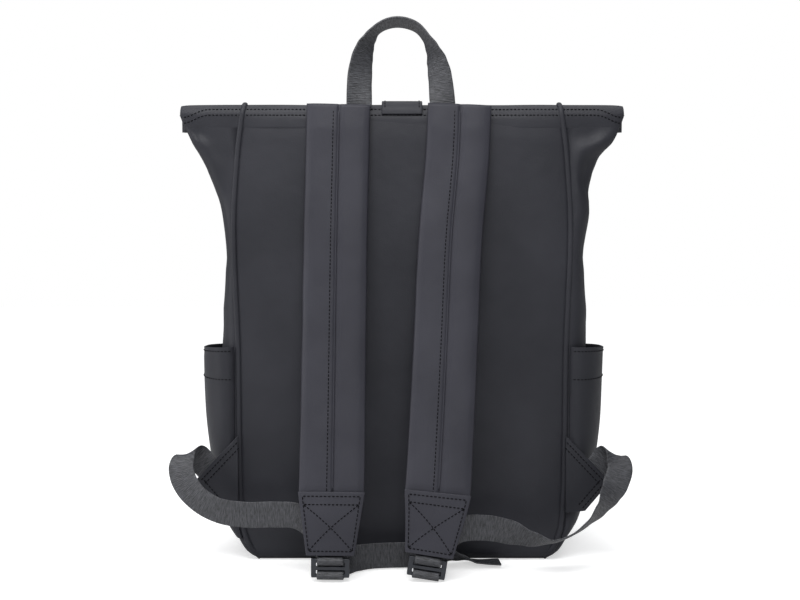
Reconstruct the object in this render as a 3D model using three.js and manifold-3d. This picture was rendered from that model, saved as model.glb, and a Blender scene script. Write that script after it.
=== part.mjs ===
// A roll-top leather backpack, standing on its base.
// Millimetres, +Z up, origin at the centre of the base's underside.
// -Y is the side that the wearer's back touches, +Y is the front, +X is to the right seen from behind.
import * as THREE from 'three';
import Module from 'manifold-3d';
import { mergeVertices } from 'three/addons/utils/BufferGeometryUtils.js';

// ---- driving dimensions ----
const GAP = 0.3;                    // clearance between pieces that touch
const WALL = 3;                     // leather with its lining
const BODY_TOP = 441;               // the body's walls end here and the mouth band folds over
const BACK_FOOT_Y = -60;            // outer face of the back panel at the floor
const BACK_TOP_Y = -48;             // and at the body's top
const MOUTH_DEPTH = 11;             // two walls and the slot between them, pressed flat
const MOUTH_HALF = 219;             // half the width of the flattened mouth
const BAND_HEIGHT = 16;             // mouth band that hangs in front when it is rolled over
const WEBBING = 25;                 // width of every webbing
const WEBBING_THICK = 1.4;
const STRAP_WIDTH = 62;             // padded shoulder strap
const STRAP_TOP = 446;
const STRAP_FOOT = 25;              // lower end of the padded strap
const PATCH_TOP = 76;               // where the strap starts to narrow under its end patch
const PATCH_FOOT_WIDTH = 44;
const HANDLE_RISE = 82.5;           // crown of the grab handle over its feet
const POCKET_TOP = 213;
const POCKET_FOOT = 22;

const FOLD_AXIS = { y: BACK_TOP_Y + MOUTH_DEPTH + GAP, z: BODY_TOP };
const FOLD_RADIUS = MOUTH_DEPTH + GAP;

// Each profile is a list of [height, value] knots, joined by a smooth curve.
const FRONT_Y = [[0, 58], [12, 63], [80, 67], [150, 68], [230, 60], [300, 38], [360, 5], [400, -23],
  [423, -36.4], [441, -37]];
const SEAM_X = [[0, 139], [12, 150], [35, 158], [80, 161], [200, 162], [330, 166], [400, 162], [441, 157]];
const CREASE_X = [[0, 147], [10, 160], [30, 171], [60, 177], [150, 184], [240, 184], [300, 180], [350, 183],
  [385, 191], [410, 203], [428, 214], [441, 219]];
const SQUARENESS = [[0, 4], [60, 3], [200, 2.5], [330, 2.4], [400, 3], [441, 5]];
const POCKET_EASE = [[22, 0], [40, 7], [90, 12], [150, 16], [213, 19]];
// Heights at which the walls are cut into rows.
const LEVELS = [GAP + WALL, 12, 22, 40, 65, 100, 150, 190, 213, 240, 270, 300, 330, 360, 385, 400, 412,
  423, 432, BODY_TOP];

// ---- helpers ----
const leather = new THREE.MeshStandardMaterial({ color: 0x34353a, roughness: 0.55, metalness: 0 });
const strapLeather = new THREE.MeshStandardMaterial({ color: 0x3c3d42, roughness: 0.5, metalness: 0 });
const webbing = new THREE.MeshStandardMaterial({ color: 0x1b1c22, roughness: 0.7, metalness: 0 });
const plastic = new THREE.MeshStandardMaterial({ color: 0x26282e, roughness: 0.4, metalness: 0 });
const metal = new THREE.MeshStandardMaterial({ color: 0x2b2c30, roughness: 0.3, metalness: 0.9 });
const foam = new THREE.MeshStandardMaterial({ color: 0x55565a, roughness: 0.95, metalness: 0 });
const board = new THREE.MeshStandardMaterial({ color: 0x1d1d1f, roughness: 0.8, metalness: 0 });
const lining = new THREE.MeshStandardMaterial({ color: 0x2a2b30, roughness: 0.85, metalness: 0 });

const backpack = new THREE.Group();

function add(name, geometry, material) {
  const mesh = new THREE.Mesh(geometry, material);
  mesh.name = name;
  backpack.add(mesh);
  return mesh;
}

const sides = [['left', -1], ['right', 1]];
const lerp = THREE.MathUtils.lerp;
const rad = THREE.MathUtils.degToRad;
const point = (x, y, z) => new THREE.Vector3(x, y, z);

// Value at `at` of the smooth curve through the knots, with no overshoot between them.
function profile(knots, at) {
  const last = knots.length - 1;
  if (at <= knots[0][0]) return knots[0][1];
  if (at >= knots[last][0]) return knots[last][1];
  const slope = (i) => (knots[i + 1][1] - knots[i][1]) / (knots[i + 1][0] - knots[i][0]);
  const tangent = (i) => {
    if (i === 0) return slope(0);
    if (i === last) return slope(last - 1);
    const before = slope(i - 1);
    const after = slope(i);
    return before * after <= 0 ? 0 : (2 * before * after) / (before + after);
  };
  const i = knots.findIndex((knot) => knot[0] > at) - 1;
  const span = knots[i + 1][0] - knots[i][0];
  const t = (at - knots[i][0]) / span;
  const rise = t * t * (3 - 2 * t);
  return lerp(knots[i][1], knots[i + 1][1], rise)
    + span * (t * (1 - t) * (1 - t) * tangent(i) - t * t * (1 - t) * tangent(i + 1));
}

const backY = (z) => lerp(BACK_FOOT_Y, BACK_TOP_Y, z / BODY_TOP);
const frontY = (z) => profile(FRONT_Y, z);
const seamX = (z) => profile(SEAM_X, z);

function signedVolume(positions, index) {
  const [a, b, c] = [new THREE.Vector3(), new THREE.Vector3(), new THREE.Vector3()];
  let volume = 0;
  for (let i = 0; i < index.length; i += 3) {
    a.fromArray(positions, 3 * index[i]);
    b.fromArray(positions, 3 * index[i + 1]);
    c.fromArray(positions, 3 * index[i + 2]);
    volume += a.dot(b.cross(c));
  }
  return volume;
}

// Closed solid between two grids of points of the same size. With `ring` the rows close on themselves.
function shell(outer, inner, ring = false) {
  const rows = outer.length;
  const columns = outer[0].length;
  const positions = [...outer.flat(), ...inner.flat()].flatMap((p) => [p.x, p.y, p.z]);
  const at = (side, i, j) => (side * rows + i) * columns + (j % columns);
  const index = [];
  const quad = (a, b, c, d) => index.push(a, b, c, a, c, d);
  const spans = ring ? columns : columns - 1;
  const end = rows - 1;
  for (let j = 0; j < spans; j += 1) {
    for (let i = 0; i < end; i += 1) {
      quad(at(0, i, j), at(0, i, j + 1), at(0, i + 1, j + 1), at(0, i + 1, j));
      quad(at(1, i, j), at(1, i + 1, j), at(1, i + 1, j + 1), at(1, i, j + 1));
    }
    quad(at(0, 0, j), at(1, 0, j), at(1, 0, j + 1), at(0, 0, j + 1));
    quad(at(0, end, j), at(0, end, j + 1), at(1, end, j + 1), at(1, end, j));
  }
  for (let i = 0; i < end && !ring; i += 1) {
    quad(at(0, i, 0), at(0, i + 1, 0), at(1, i + 1, 0), at(1, i, 0));
    quad(at(0, i, spans), at(1, i, spans), at(1, i + 1, spans), at(0, i + 1, spans));
  }
  if (signedVolume(positions, index) < 0) {
    for (let i = 0; i < index.length; i += 3) [index[i], index[i + 1]] = [index[i + 1], index[i]];
  }
  const geometry = new THREE.BufferGeometry();
  geometry.setAttribute('position', new THREE.Float32BufferAttribute(positions, 3));
  geometry.setIndex(index);
  geometry.computeVertexNormals();
  return geometry;
}

// A flat band along a curve through hand-chosen stations: [centre, direction of the width].
// `section(along, across)` gives how far the two faces stand off the middle, for across from -1 to 1.
function band(stations, width, section, steps, columns = 2) {
  const centres = stations.map(([centre]) => point(...centre));
  const route = new THREE.CatmullRomCurve3(centres, false, 'centripetal');
  const [outer, inner] = [[], []];
  for (let i = 0; i <= steps; i += 1) {
    const along = i / steps;
    const centre = route.getPoint(along);
    const tangent = route.getTangent(along);
    const place = along * (stations.length - 1);
    const from = Math.min(Math.floor(place), stations.length - 2);
    const across = point(...stations[from][1]).lerp(point(...stations[from + 1][1]), place - from);
    across.addScaledVector(tangent, -across.dot(tangent)).normalize();
    const normal = across.clone().cross(tangent).normalize();
    const [outerRow, innerRow] = [[], []];
    for (let j = 0; j < columns; j += 1) {
      const s = lerp(-1, 1, j / (columns - 1));
      const [rise, fall] = section(along, s);
      const foot = centre.clone().addScaledVector(across, (s * width(along)) / 2);
      outerRow.push(foot.clone().addScaledVector(normal, rise));
      innerRow.push(foot.clone().addScaledVector(normal, -fall));
    }
    outer.push(outerRow);
    inner.push(innerRow);
  }
  return shell(outer, inner);
}

const flat = (thickness) => () => [thickness / 2, thickness / 2];
const constant = (value) => () => value;

function extrudeAlongX(outline, width, holes = []) {
  const shape = new THREE.Shape(outline.map(([y, z]) => new THREE.Vector2(y, z)));
  holes.forEach((hole) => shape.holes.push(new THREE.Path(hole.map(([y, z]) => new THREE.Vector2(y, z)))));
  const geometry = new THREE.ExtrudeGeometry(shape, { depth: width, bevelEnabled: false });
  geometry.translate(0, 0, -width / 2);
  geometry.applyMatrix4(new THREE.Matrix4().set(0, 0, 1, 0, 1, 0, 0, 0, 0, 1, 0, 0, 0, 0, 0, 1));
  return geometry;
}

const rectangle = (half, low, high) => [[-half, high], [-half, low], [half, low], [half, high]]
  .map(([x, z]) => new THREE.Vector2(x, z));

function box(low, high) {
  const geometry = new THREE.BoxGeometry(high[0] - low[0], high[1] - low[1], high[2] - low[2]);
  return geometry.translate((low[0] + high[0]) / 2, (low[1] + high[1]) / 2, (low[2] + high[2]) / 2);
}

// ---- body shell ----
// Outer half-section of a gusset at height z: angle -90 is the back seam, 0 the side crease and 90 the front
// seam. `inset` moves it inwards.
function gussetPoint(z, angle, inset = 0) {
  const power = 2 / profile(SQUARENESS, z);
  const depth = (frontY(z) - backY(z)) / 2;
  const reach = profile(CREASE_X, z) - seamX(z);
  const [c, s] = [Math.max(Math.cos(rad(angle)), 0), Math.sin(rad(angle))];
  return {
    x: seamX(z) + Math.max(reach - inset, 1) * c ** power,
    y: backY(z) + depth + (depth - inset) * Math.sign(s) * Math.abs(s) ** power,
  };
}

const GUSSET_ANGLES = [-90, -82, -70, -55, -40, -24, -8, 8, 24, 40, 55, 70, 82, 90];

for (const [side, sign] of sides) {
  const rows = (inset) => LEVELS.map((z) => GUSSET_ANGLES.map((angle) => {
    const p = gussetPoint(z, angle, inset);
    return point(sign * p.x, p.y, z);
  }));
  add(`gusset_${side}`, shell(rows(0), rows(WALL)), leather);
}

function panel(face, thickness, low, high, halfWidth, columns = 5) {
  const levels = LEVELS.filter((z) => z > low && z < high);
  const rows = (depth) => [low, ...levels, high].map((z) => Array.from({ length: columns }, (_, j) => (
    point(lerp(-1, 1, j / (columns - 1)) * halfWidth(z), face(z) + depth, z))));
  return shell(rows(0), rows(thickness));
}

const panelHalf = (z) => seamX(z) - GAP;
const firstLevel = LEVELS[0];
add('back_panel', panel(backY, WALL, firstLevel, BODY_TOP, panelHalf), leather);
add('front_panel', panel(frontY, -WALL, firstLevel, BODY_TOP, panelHalf), leather);

// Base: a flat panel with the outline of the walls at the floor, and a stiff board over it.
const footOutline = [];
for (const [sign, angles] of [[1, GUSSET_ANGLES], [-1, [...GUSSET_ANGLES].reverse()]]) {
  angles.forEach((angle) => {
    const p = gussetPoint(0, angle);
    footOutline.push(new THREE.Vector2(sign * p.x, p.y));
  });
}
const footShape = new THREE.Shape(footOutline);
add('base_panel', new THREE.ExtrudeGeometry(footShape, { depth: WALL, bevelEnabled: false }), leather);
const BOARD_HALF = [134, 52];
const BOARD_FOOT = WALL + 2 * GAP;
const BOARD_THICK = 2.5;
add('base_board', box([-BOARD_HALF[0], -BOARD_HALF[1], BOARD_FOOT],
  [BOARD_HALF[0], BOARD_HALF[1], BOARD_FOOT + BOARD_THICK]), board);

// Foam behind the back panel, and the laptop sleeve that is sewn to it.
const FOAM_THICK = 5;
const FOAM_HALF = 148;
const FOAM_SPAN = [30, 405];        // its lower and upper edges
const foamY = (z) => backY(z) + WALL + GAP;
add('back_foam', panel(foamY, FOAM_THICK, ...FOAM_SPAN, constant(FOAM_HALF), 2), foam);

const SLEEVE_HALF = 140;
const SLEEVE_DEPTH = 22;
const SLEEVE_WALL = 1.6;
const SLEEVE_LEVELS = [34, 145, 255];
const sleeveY = (z) => foamY(z) + FOAM_THICK + GAP;
const sleeveRows = (inset) => SLEEVE_LEVELS.map((z) => [
  point(-SLEEVE_HALF + inset, sleeveY(z), z),
  point(-SLEEVE_HALF + inset, sleeveY(z) + SLEEVE_DEPTH - inset, z),
  point(SLEEVE_HALF - inset, sleeveY(z) + SLEEVE_DEPTH - inset, z),
  point(SLEEVE_HALF - inset, sleeveY(z), z),
]);
add('laptop_sleeve', shell(sleeveRows(0), sleeveRows(SLEEVE_WALL)), lining);

// Raised seams where the back panel meets the gussets.
const SEAM_WIDTH = 5;
const SEAM_RISE = 3.6;
const SEAM_LEVELS = [8, 22, 40, 65, 100, 190, 270, 330, 400, BODY_TOP, BODY_TOP + 5];
const SEAM_SHAPE = [[-1, 0.6], [-0.5, 1], [0.5, 1], [1, 0.6]];   // [place across, share of the rise]
for (const [side, sign] of sides) {
  const rows = (rise) => SEAM_LEVELS.map((z) => SEAM_SHAPE.map(([s, share]) => {
    const height = rise * share;
    return point(sign * seamX(z) + (s * SEAM_WIDTH) / 2, backY(z) - GAP - height, z);
  }));
  add(`back_seam_${side}`, shell(rows(SEAM_RISE), rows(0)), leather);
}

// ---- side pockets ----
const POCKET_WALL = 1.8;
const POCKET_SPREAD = 66;           // angle of the gusset section that the pocket covers, each way
const POCKET_LEVELS = [POCKET_FOOT, 40, 65, 100, 150, 190, POCKET_TOP];
const POCKET_COLUMNS = 13;
for (const [side, sign] of sides) {
  const rows = (lift) => POCKET_LEVELS.map((z) => Array.from({ length: POCKET_COLUMNS }, (_, j) => {
    const share = lerp(-1, 1, j / (POCKET_COLUMNS - 1));
    const angle = share * POCKET_SPREAD;
    const [before, here, after] = [-1, 0, 1].map((turn) => gussetPoint(z, angle + turn));
    const normal = new THREE.Vector2(after.y - before.y, before.x - after.x).normalize();
    const ease = 2 * GAP + profile(POCKET_EASE, z) * Math.cos((share * Math.PI) / 2) ** 0.6 + lift;
    return point(sign * (here.x + normal.x * ease), here.y + normal.y * ease, z);
  }));
  add(`side_pocket_${side}`, shell(rows(POCKET_WALL), rows(0)), leather);
}

// ---- wedge tabs that hold the lower webbings ----
const WEDGE_Y = -65.5;
const WEDGE_THICK = 3;
const WEDGE_OUTLINE = [[164.5, 125], [205, 80], [181, 52], [164.5, 50]];
for (const [side, sign] of sides) {
  const shape = new THREE.Shape(WEDGE_OUTLINE.map(([x, z]) => new THREE.Vector2(sign * x, z)));
  const geometry = new THREE.ExtrudeGeometry(shape, { depth: WEDGE_THICK, bevelEnabled: false });
  geometry.rotateX(Math.PI / 2).translate(0, WEDGE_Y + WEDGE_THICK, 0);
  add(`wedge_tab_${side}`, geometry, leather);
}

// ---- shoulder straps ----
// Middle of each padded strap, from the top seam to its foot.
const STRAP_ROUTES = {
  left: [[-62, -56, STRAP_TOP], [-63, -59, 400], [-64.5, -69, 320], [-65.5, -84, 220], [-66, -105, 130],
    [-66.5, -119, 76], [-67, -131, STRAP_FOOT]],
  right: [[56, -56, STRAP_TOP], [54, -59, 400], [47, -69, 320], [42, -84, 220], [37, -105, 130],
    [33, -119, 76], [25, -131, STRAP_FOOT]],
};
const STRAP_STEPS = 24;
const strapHeight = (along) => lerp(STRAP_TOP, STRAP_FOOT, along);
const strapWidth = (along) => {
  const z = strapHeight(along);
  const overPatch = Math.min(1, (z - STRAP_FOOT) / (PATCH_TOP - STRAP_FOOT));
  return lerp(PATCH_FOOT_WIDTH, STRAP_WIDTH, overPatch);
};
const PADDING = [9, 5];             // thickness on the shoulder and at the foot
const strapThick = (along) => lerp(...PADDING, THREE.MathUtils.clamp((along - 0.6) / 0.25, 0, 1));
const facingBack = (centre) => [centre, [-1, 0, 0]];   // width across the bag, outer face towards the wearer

const CROWN = [1.2, 1.6];           // how much thinner the edges are, on the outer and the inner face
const PIPING = { rise: 1.6, width: 3, share: 0.86 };   // `share` of the strap's length that it runs down

for (const [side] of sides) {
  const route = STRAP_ROUTES[side];
  const padding = (along, s) => CROWN.map((drop) => strapThick(along) / 2 - drop * s * s);
  const strap = band(route.map(facingBack), strapWidth, padding, STRAP_STEPS, 7);
  add(`shoulder_strap_${side}`, strap, strapLeather);

  const pipingRoute = route.slice(0, 6);
  const pipingFoot = (along) => strapThick(along * PIPING.share) / 2 + 2 * GAP;
  const piping = (along, s) => [pipingFoot(along) + PIPING.rise * (1 - 0.5 * s * s), -pipingFoot(along)];
  const pipingBand = band(pipingRoute.map(facingBack), constant(PIPING.width), piping, 20, 3);
  add(`strap_piping_${side}`, pipingBand, strapLeather);
}

// Stitched patch over the foot of each strap, the loop under it, and the ladder lock that hangs in the loop.
const LOCK_DROP = 5;                // from the strap's foot down to the loop's axis
const LOCK_WIDTH = 36;
const LOCK_THICK = 4;
const LOOP_INNER = 2.9;
const LOOP_OUTER = 4.4;
const RAIL = 4.5;                   // side rails of the ladder lock
const LOCK_TOP = 1.5;               // top of the frame over the loop's axis
const LOCK_FOOT = -15.5;
const LOCK_SLOTS = [[-5.2, -1.5], [-12.5, -8]];
const PATCH_THICK = 1.4;
const PATCH_START = 0.03;           // where the patch begins, from the strap's knee to its foot

function circle(radius, count = 20) {
  return Array.from({ length: count }, (_, i) => {
    const turn = (2 * Math.PI * i) / count;
    return [radius * Math.cos(turn), radius * Math.sin(turn)];
  });
}

// The strap's foot leans sideways, and what hangs on it leans with it, about the Y axis through the foot.
function lean(side) {
  const [above, foot] = STRAP_ROUTES[side].slice(-2);
  return Math.atan2(above[0] - foot[0], above[2] - foot[2]);
}
function hang(side, geometry) {
  const foot = STRAP_ROUTES[side].at(-1);
  return geometry.translate(0, 0, -LOCK_DROP).rotateY(lean(side)).translate(...foot);
}

for (const [side] of sides) {
  const route = STRAP_ROUTES[side];
  const foot = route.at(-1);
  const above = route.at(-2);
  const patchWidth = (along) => lerp(STRAP_WIDTH, PATCH_FOOT_WIDTH, along) - 1;
  const seat = strapThick(1) / 2 + GAP;
  const patch = () => [seat + PATCH_THICK, -seat];
  const start = above.map((value, axis) => lerp(value, foot[axis], PATCH_START));
  add(`strap_end_${side}`, band([start, foot].map(facingBack), patchWidth, patch, 4), strapLeather);

  const loop = extrudeAlongX(circle(LOOP_OUTER), WEBBING, [circle(LOOP_INNER)]);
  add(`strap_loop_${side}`, hang(side, loop), webbing);

  const half = LOCK_WIDTH / 2;
  const frame = new THREE.Shape(rectangle(half, LOCK_FOOT, LOCK_TOP));
  for (const [low, high] of LOCK_SLOTS) frame.holes.push(new THREE.Path(rectangle(half - RAIL, low, high)));
  const lock = new THREE.ExtrudeGeometry(frame, { depth: LOCK_THICK, bevelEnabled: false });
  lock.translate(0, 0, -LOCK_THICK / 2).rotateX(Math.PI / 2);
  add(`ladder_lock_${side}`, hang(side, lock), plastic);
}

// ---- lower webbings: out of the wedge, round the outside, along the foot and through the ladder lock ----
// Each station is [centre, direction of the width].
function throughLock(side, across) {
  const [x, y, z] = STRAP_ROUTES[side].at(-1);
  const turn = lean(side);
  const width = [across * Math.cos(turn), 0, -across * Math.sin(turn)];
  // [towards the wearer, height over the strap's foot]
  const path = [[-5.5, -9], [-3.6, -14.2], [0, -15.2], [3.4, -16.8], [3.6, -20], [0, -22.2], [-6, -22.6]];
  return path.map(([out, up]) => [[x + up * Math.sin(turn), y - out, z + up * Math.cos(turn)], width]);
}

const LOWER_ROUTES = {
  left: [
    [[-195, -64, 97], [-0.67, 0, -0.74]],
    [[-201, -67, 106], [-0.72, -0.1, -0.68]],
    [[-209, -76, 110], [-0.9, 0.1, -0.4]],
    [[-214, -84, 101], [-0.98, 0.1, -0.15]],
    [[-212, -89, 91], [-0.98, 0.1, -0.15]],
    [[-206, -94, 81], [-0.85, 0.1, -0.45]],
    [[-194, -99, 70], [-0.5, 0.1, -0.82]],
    [[-175, -104, 61], [-0.1, 0.1, -0.98]],
    [[-149, -108, 58], [0, 0, -1]],
    [[-121, -111, 59], [0, 0, -1]],
    [[-100, -113, 58], [-0.05, 0, -1]],
    [[-85, -115.5, 50], [-0.35, 0, -0.94]],
    [[-73, -120.5, 36], [-0.85, 0, -0.5]],
    ...throughLock('left', -1),
    [[-63, -112, 6.6], [-0.93, 0.2, 0.3]],
    [[-50, -100, 12], [-0.5, 0.3, 0.8]],
    [[-30, -93, 13.6], [0, 0, 1]],
    [[10, -88, 13.6], [0, 0, 1]],
    [[35, -84, 13.2], [0, -0.35, 0.93]],
    [[55, -80, 8.5], [0, -0.85, 0.5]],
    [[72, -77, 4], [0, -1, 0.15]],
    [[96, -76, 3], [0, -1, 0.05]],
  ],
  right: [
    [[195, -64, 97], [0.67, 0, -0.74]],
    [[201, -67, 106], [0.72, -0.1, -0.68]],
    [[208, -76, 109], [0.9, 0.1, -0.4]],
    [[211.5, -84, 98], [0.98, 0.1, -0.1]],
    [[206.5, -90, 85], [1, 0.1, 0]],
    [[200, -95, 74], [0.85, 0.45, -0.2]],
    [[191, -99, 61], [0.5, 0.75, -0.4]],
    [[178, -102, 48], [0.2, 0.9, -0.35]],
    [[162, -104, 37], [0.1, 0.93, -0.3]],
    [[144, -105, 31], [0.05, 0.92, -0.35]],
    [[122, -106, 34], [0, 0.65, -0.75]],
    [[99, -108, 42], [0, 0.15, -1]],
    [[77, -110, 46], [0, 0, -1]],
    [[54, -114, 45], [0.15, 0, -0.98]],
    [[36, -119.5, 34], [0.75, 0, -0.65]],
    ...throughLock('right', 1),
    [[27, -112, 1.8], [1, 0, 0]],
    [[29, -98, 1.4], [1, 0, 0]],
  ],
};
for (const [side] of sides) {
  const stations = LOWER_ROUTES[side];
  const lower = band(stations, constant(WEBBING), flat(WEBBING_THICK), 3 * stations.length);
  add(`lower_webbing_${side}`, lower, webbing);
}

// ---- grab handle: one webbing, its feet flat on the back seam and its crown turned level ----
const HANDLE_Y = -49.6;
const HANDLE_FOOT = 448;
const HANDLE_THICK = 2;
// [x, height over the feet, width direction]: the webbing turns edge on to the wearer on its way up, and the
// far edge of its crown lies a little lower.
const handleStations = [
  [-42, 0, [1, 0, 0]],
  [-41.5, 27, [0.96, 0.28, 0]],
  [-39.2, 46, [0.82, 0.57, 0]],
  [-35.8, 58, [0.66, 0.75, 0]],
  [-31.2, 67, [0.42, 0.91, -0.05]],
  [-25, 75, [0.15, 0.98, -0.15]],
  [-15.5, 80.5, [0, 0.97, -0.23]],
  [-5, HANDLE_RISE, [0, 0.97, -0.23]],
  [6, 81, [0, 0.97, -0.23]],
  [15.5, 76.5, [-0.05, 0.97, -0.2]],
  [23, 68, [-0.15, 0.98, -0.12]],
  [29.5, 56.5, [-0.46, 0.89, 0]],
  [34, 44, [-0.75, 0.66, 0]],
  [37, 30, [-0.9, 0.43, 0]],
  [40, 0, [-1, 0, 0]],
].map(([x, rise, across]) => [[x, HANDLE_Y, HANDLE_FOOT + rise], across]);
add('grab_handle', band(handleStations, constant(WEBBING), flat(HANDLE_THICK), 36), webbing);

// ---- mouth band, rolled over to the front ----
const MOUTH_CORNER = 9;
const BAND_MIDDLE_Y = FOLD_AXIS.y + GAP + MOUTH_DEPTH / 2;
function mouthLoop(z, inset) {
  const half = MOUTH_DEPTH / 2 - inset;
  const end = MOUTH_HALF - inset;
  const outline = [];
  for (const sign of [1, -1]) {
    for (let i = 0; i <= 8; i += 1) {
      const turn = rad(-90 + (180 * i) / 8);
      outline.push(point(sign * (end - MOUTH_CORNER + MOUTH_CORNER * Math.cos(turn)),
        BAND_MIDDLE_Y + sign * half * Math.sin(turn), z));
    }
  }
  return outline;
}
const BAND_LOW = BODY_TOP - BAND_HEIGHT;
const BAND_HIGH = BODY_TOP - GAP;
const bandLoops = (inset) => [BAND_LOW, BAND_HIGH].map((z) => mouthLoop(z, inset));
add('mouth_band', shell(bandLoops(0), bandLoops(WALL), true), leather);

const STIFFENER = 0.6;
const STIFFENER_HALF = 200;
const slotHalf = MOUTH_DEPTH / 2 - WALL - GAP;
for (const [side, sign] of [['back', -1], ['front', 1]]) {
  const near = BAND_MIDDLE_Y + sign * slotHalf;
  const far = near - sign * STIFFENER;
  add(`band_stiffener_${side}`, box([-STIFFENER_HALF, Math.min(near, far), BAND_LOW + 2],
    [STIFFENER_HALF, Math.max(near, far), BAND_HIGH - 2]), board);
}

// The fold itself: both walls turned over, from the body's top to the band.
const foldOutline = Array.from({ length: 13 }, (_, i) => {
  const turn = (Math.PI * i) / 12;
  return [FOLD_AXIS.y + FOLD_RADIUS * Math.cos(turn), BODY_TOP + GAP + FOLD_RADIUS * Math.sin(turn)];
});
add('top_fold', extrudeAlongX(foldOutline, 2 * MOUTH_HALF - 2), leather);

// ---- closing strap: sewn behind the fold, over it, and snapped to the front panel ----
const CLOSING_WIDTH = 40;
const CLOSING_THICK = 2.2;
const CLOSING_STAND = 4;            // middle of the strap over the front panel at the snap
const CLOSING_TIP = 382;
const SNAP_Z = 393;
const closingRadius = FOLD_RADIUS + 2 * GAP + CLOSING_THICK / 2;
function frontNormal(z) {
  const slope = (frontY(z + 1) - frontY(z - 1)) / 2;
  return new THREE.Vector2(1, -slope).normalize();
}
function offFront(z, stand) {
  const normal = frontNormal(z);
  return [frontY(z) + stand * normal.x, z + stand * normal.y];
}
const closingPath = [];             // [y, z] from the seam behind the fold to the tip
for (let i = 0; i <= 8; i += 1) {
  const turn = Math.PI * (1 - i / 8);
  const [y, z] = [closingRadius * Math.cos(turn), closingRadius * Math.sin(turn)];
  closingPath.push([FOLD_AXIS.y + y, BODY_TOP + GAP + z]);
}
const bandFace = FOLD_AXIS.y + closingRadius;
closingPath.push([bandFace, BODY_TOP - 8], [bandFace, BAND_LOW - 1], [bandFace + 2, BAND_LOW - 11]);
closingPath.push(...[SNAP_Z + 7, SNAP_Z, CLOSING_TIP].map((z) => offFront(z, CLOSING_STAND)));
add('closing_strap', band(closingPath.map(([y, z]) => [[0, y, z], [1, 0, 0]]), constant(CLOSING_WIDTH),
  flat(CLOSING_THICK), 32), leather);

// Snap fastener, its axis square to the front panel.
function snapPart(name, outline) {
  const geometry = new THREE.LatheGeometry(outline.map(([r, h]) => new THREE.Vector2(r, h)), 32);
  const normal = frontNormal(SNAP_Z);
  const turn = new THREE.Quaternion().setFromUnitVectors(point(0, 1, 0), point(0, normal.x, normal.y));
  geometry.applyQuaternion(turn).translate(0, frontY(SNAP_Z), SNAP_Z);
  add(name, geometry, metal);
}
const capFoot = CLOSING_STAND + CLOSING_THICK / 2 + GAP;
snapPart('snap_stud', [[0, GAP], [6, GAP], [6, 0.9], [2.4, 0.9], [2.4, 2.2], [0, 2.2]]);
snapPart('snap_socket', [[2.8, 1.3], [6, 1.3], [6, 2.5], [2.8, 2.5], [2.8, 1.3]]);
snapPart('snap_cap', [[0, 0], [7, 0], [7, 0.6], [5, 1.5], [0, 1.8]].map(([r, h]) => [r, capFoot + h]));

// ---- flat pocket on the front, closed by a zip ----
const POCKET_HALF = 128;
const ZIP_HALF = 120;
const ZIP_Z = 236;
const TAPE = 11;
const TEETH = 5;
const FLAT_POCKET = 2.4;            // thickness of the pocket with its lining
const FLAT_SPAN = [30, 222];        // its lower and upper edges
const onFront = (z) => frontY(z) + 2 * GAP;
add('front_pocket', panel(onFront, FLAT_POCKET, ...FLAT_SPAN, constant(POCKET_HALF), 3), leather);
const TAPE_THICK = 0.8;
const tapeHalf = constant(ZIP_HALF + 4);
const halfTeeth = TEETH / 2 + GAP;
add('zip_tape_lower', panel(onFront, TAPE_THICK, FLAT_SPAN[1] + 1, ZIP_Z - halfTeeth, tapeHalf, 2), webbing);
add('zip_tape_upper', panel(onFront, TAPE_THICK, ZIP_Z + halfTeeth, ZIP_Z + TAPE, tapeHalf, 2), webbing);
const teethY = frontY(ZIP_Z) + 3 * GAP;
const TEETH_THICK = 2.6;
const teeth = box([-ZIP_HALF, teethY, ZIP_Z - TEETH / 2], [ZIP_HALF, teethY + TEETH_THICK, ZIP_Z + TEETH / 2]);
add('zip_teeth', teeth, metal);

// The slider wraps the teeth from the front; the pull hangs from its bridge.
const wasm = await Module();
wasm.setup();
function solid(geometry) {
  const plain = geometry.clone();
  plain.deleteAttribute('normal');
  plain.deleteAttribute('uv');
  const merged = mergeVertices(plain);
  return new wasm.Manifold(new wasm.Mesh({
    numProp: 3,
    vertProperties: merged.attributes.position.array,
    triVerts: new Uint32Array(merged.index.array),
  }));
}
function toGeometry(manifold) {
  const mesh = manifold.getMesh();
  const geometry = new THREE.BufferGeometry();
  geometry.setAttribute('position', new THREE.BufferAttribute(mesh.vertProperties, 3));
  geometry.setIndex(new THREE.BufferAttribute(mesh.triVerts, 1));
  geometry.computeVertexNormals();
  return geometry;
}
const SLIDER_X = -ZIP_HALF + 10;
const SLIDER_HALF = [5, 4.5];
const SLIDER_DEPTH = 5;
const sliderFoot = teethY + 1.5;       // clear of the tapes, which follow the slope of the front
const sliderFace = sliderFoot + SLIDER_DEPTH;
const channel = TEETH / 2 + GAP;
const BRIDGE = [3.4, 2.4];           // how far it stands out, and half its height
const EYE = [2.4, 1.4];
const pullY = sliderFace + EYE[0] / 2;
const sliderBlock = solid(box([SLIDER_X - SLIDER_HALF[0], sliderFoot, ZIP_Z - SLIDER_HALF[1]],
  [SLIDER_X + SLIDER_HALF[0], sliderFace, ZIP_Z + SLIDER_HALF[1]]));
const sliderChannel = solid(box([SLIDER_X - 9, sliderFoot - 1, ZIP_Z - channel],
  [SLIDER_X + 9, teethY + TEETH_THICK + GAP, ZIP_Z + channel]));
const bridge = solid(box([SLIDER_X - 1, sliderFace - 0.5, ZIP_Z - BRIDGE[1]],
  [SLIDER_X + 1, sliderFace + BRIDGE[0], ZIP_Z + BRIDGE[1]]));
const bridgeEye = solid(box([SLIDER_X - 5, sliderFace, ZIP_Z - EYE[1]],
  [SLIDER_X + 5, sliderFace + EYE[0], ZIP_Z + EYE[1]]));
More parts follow.
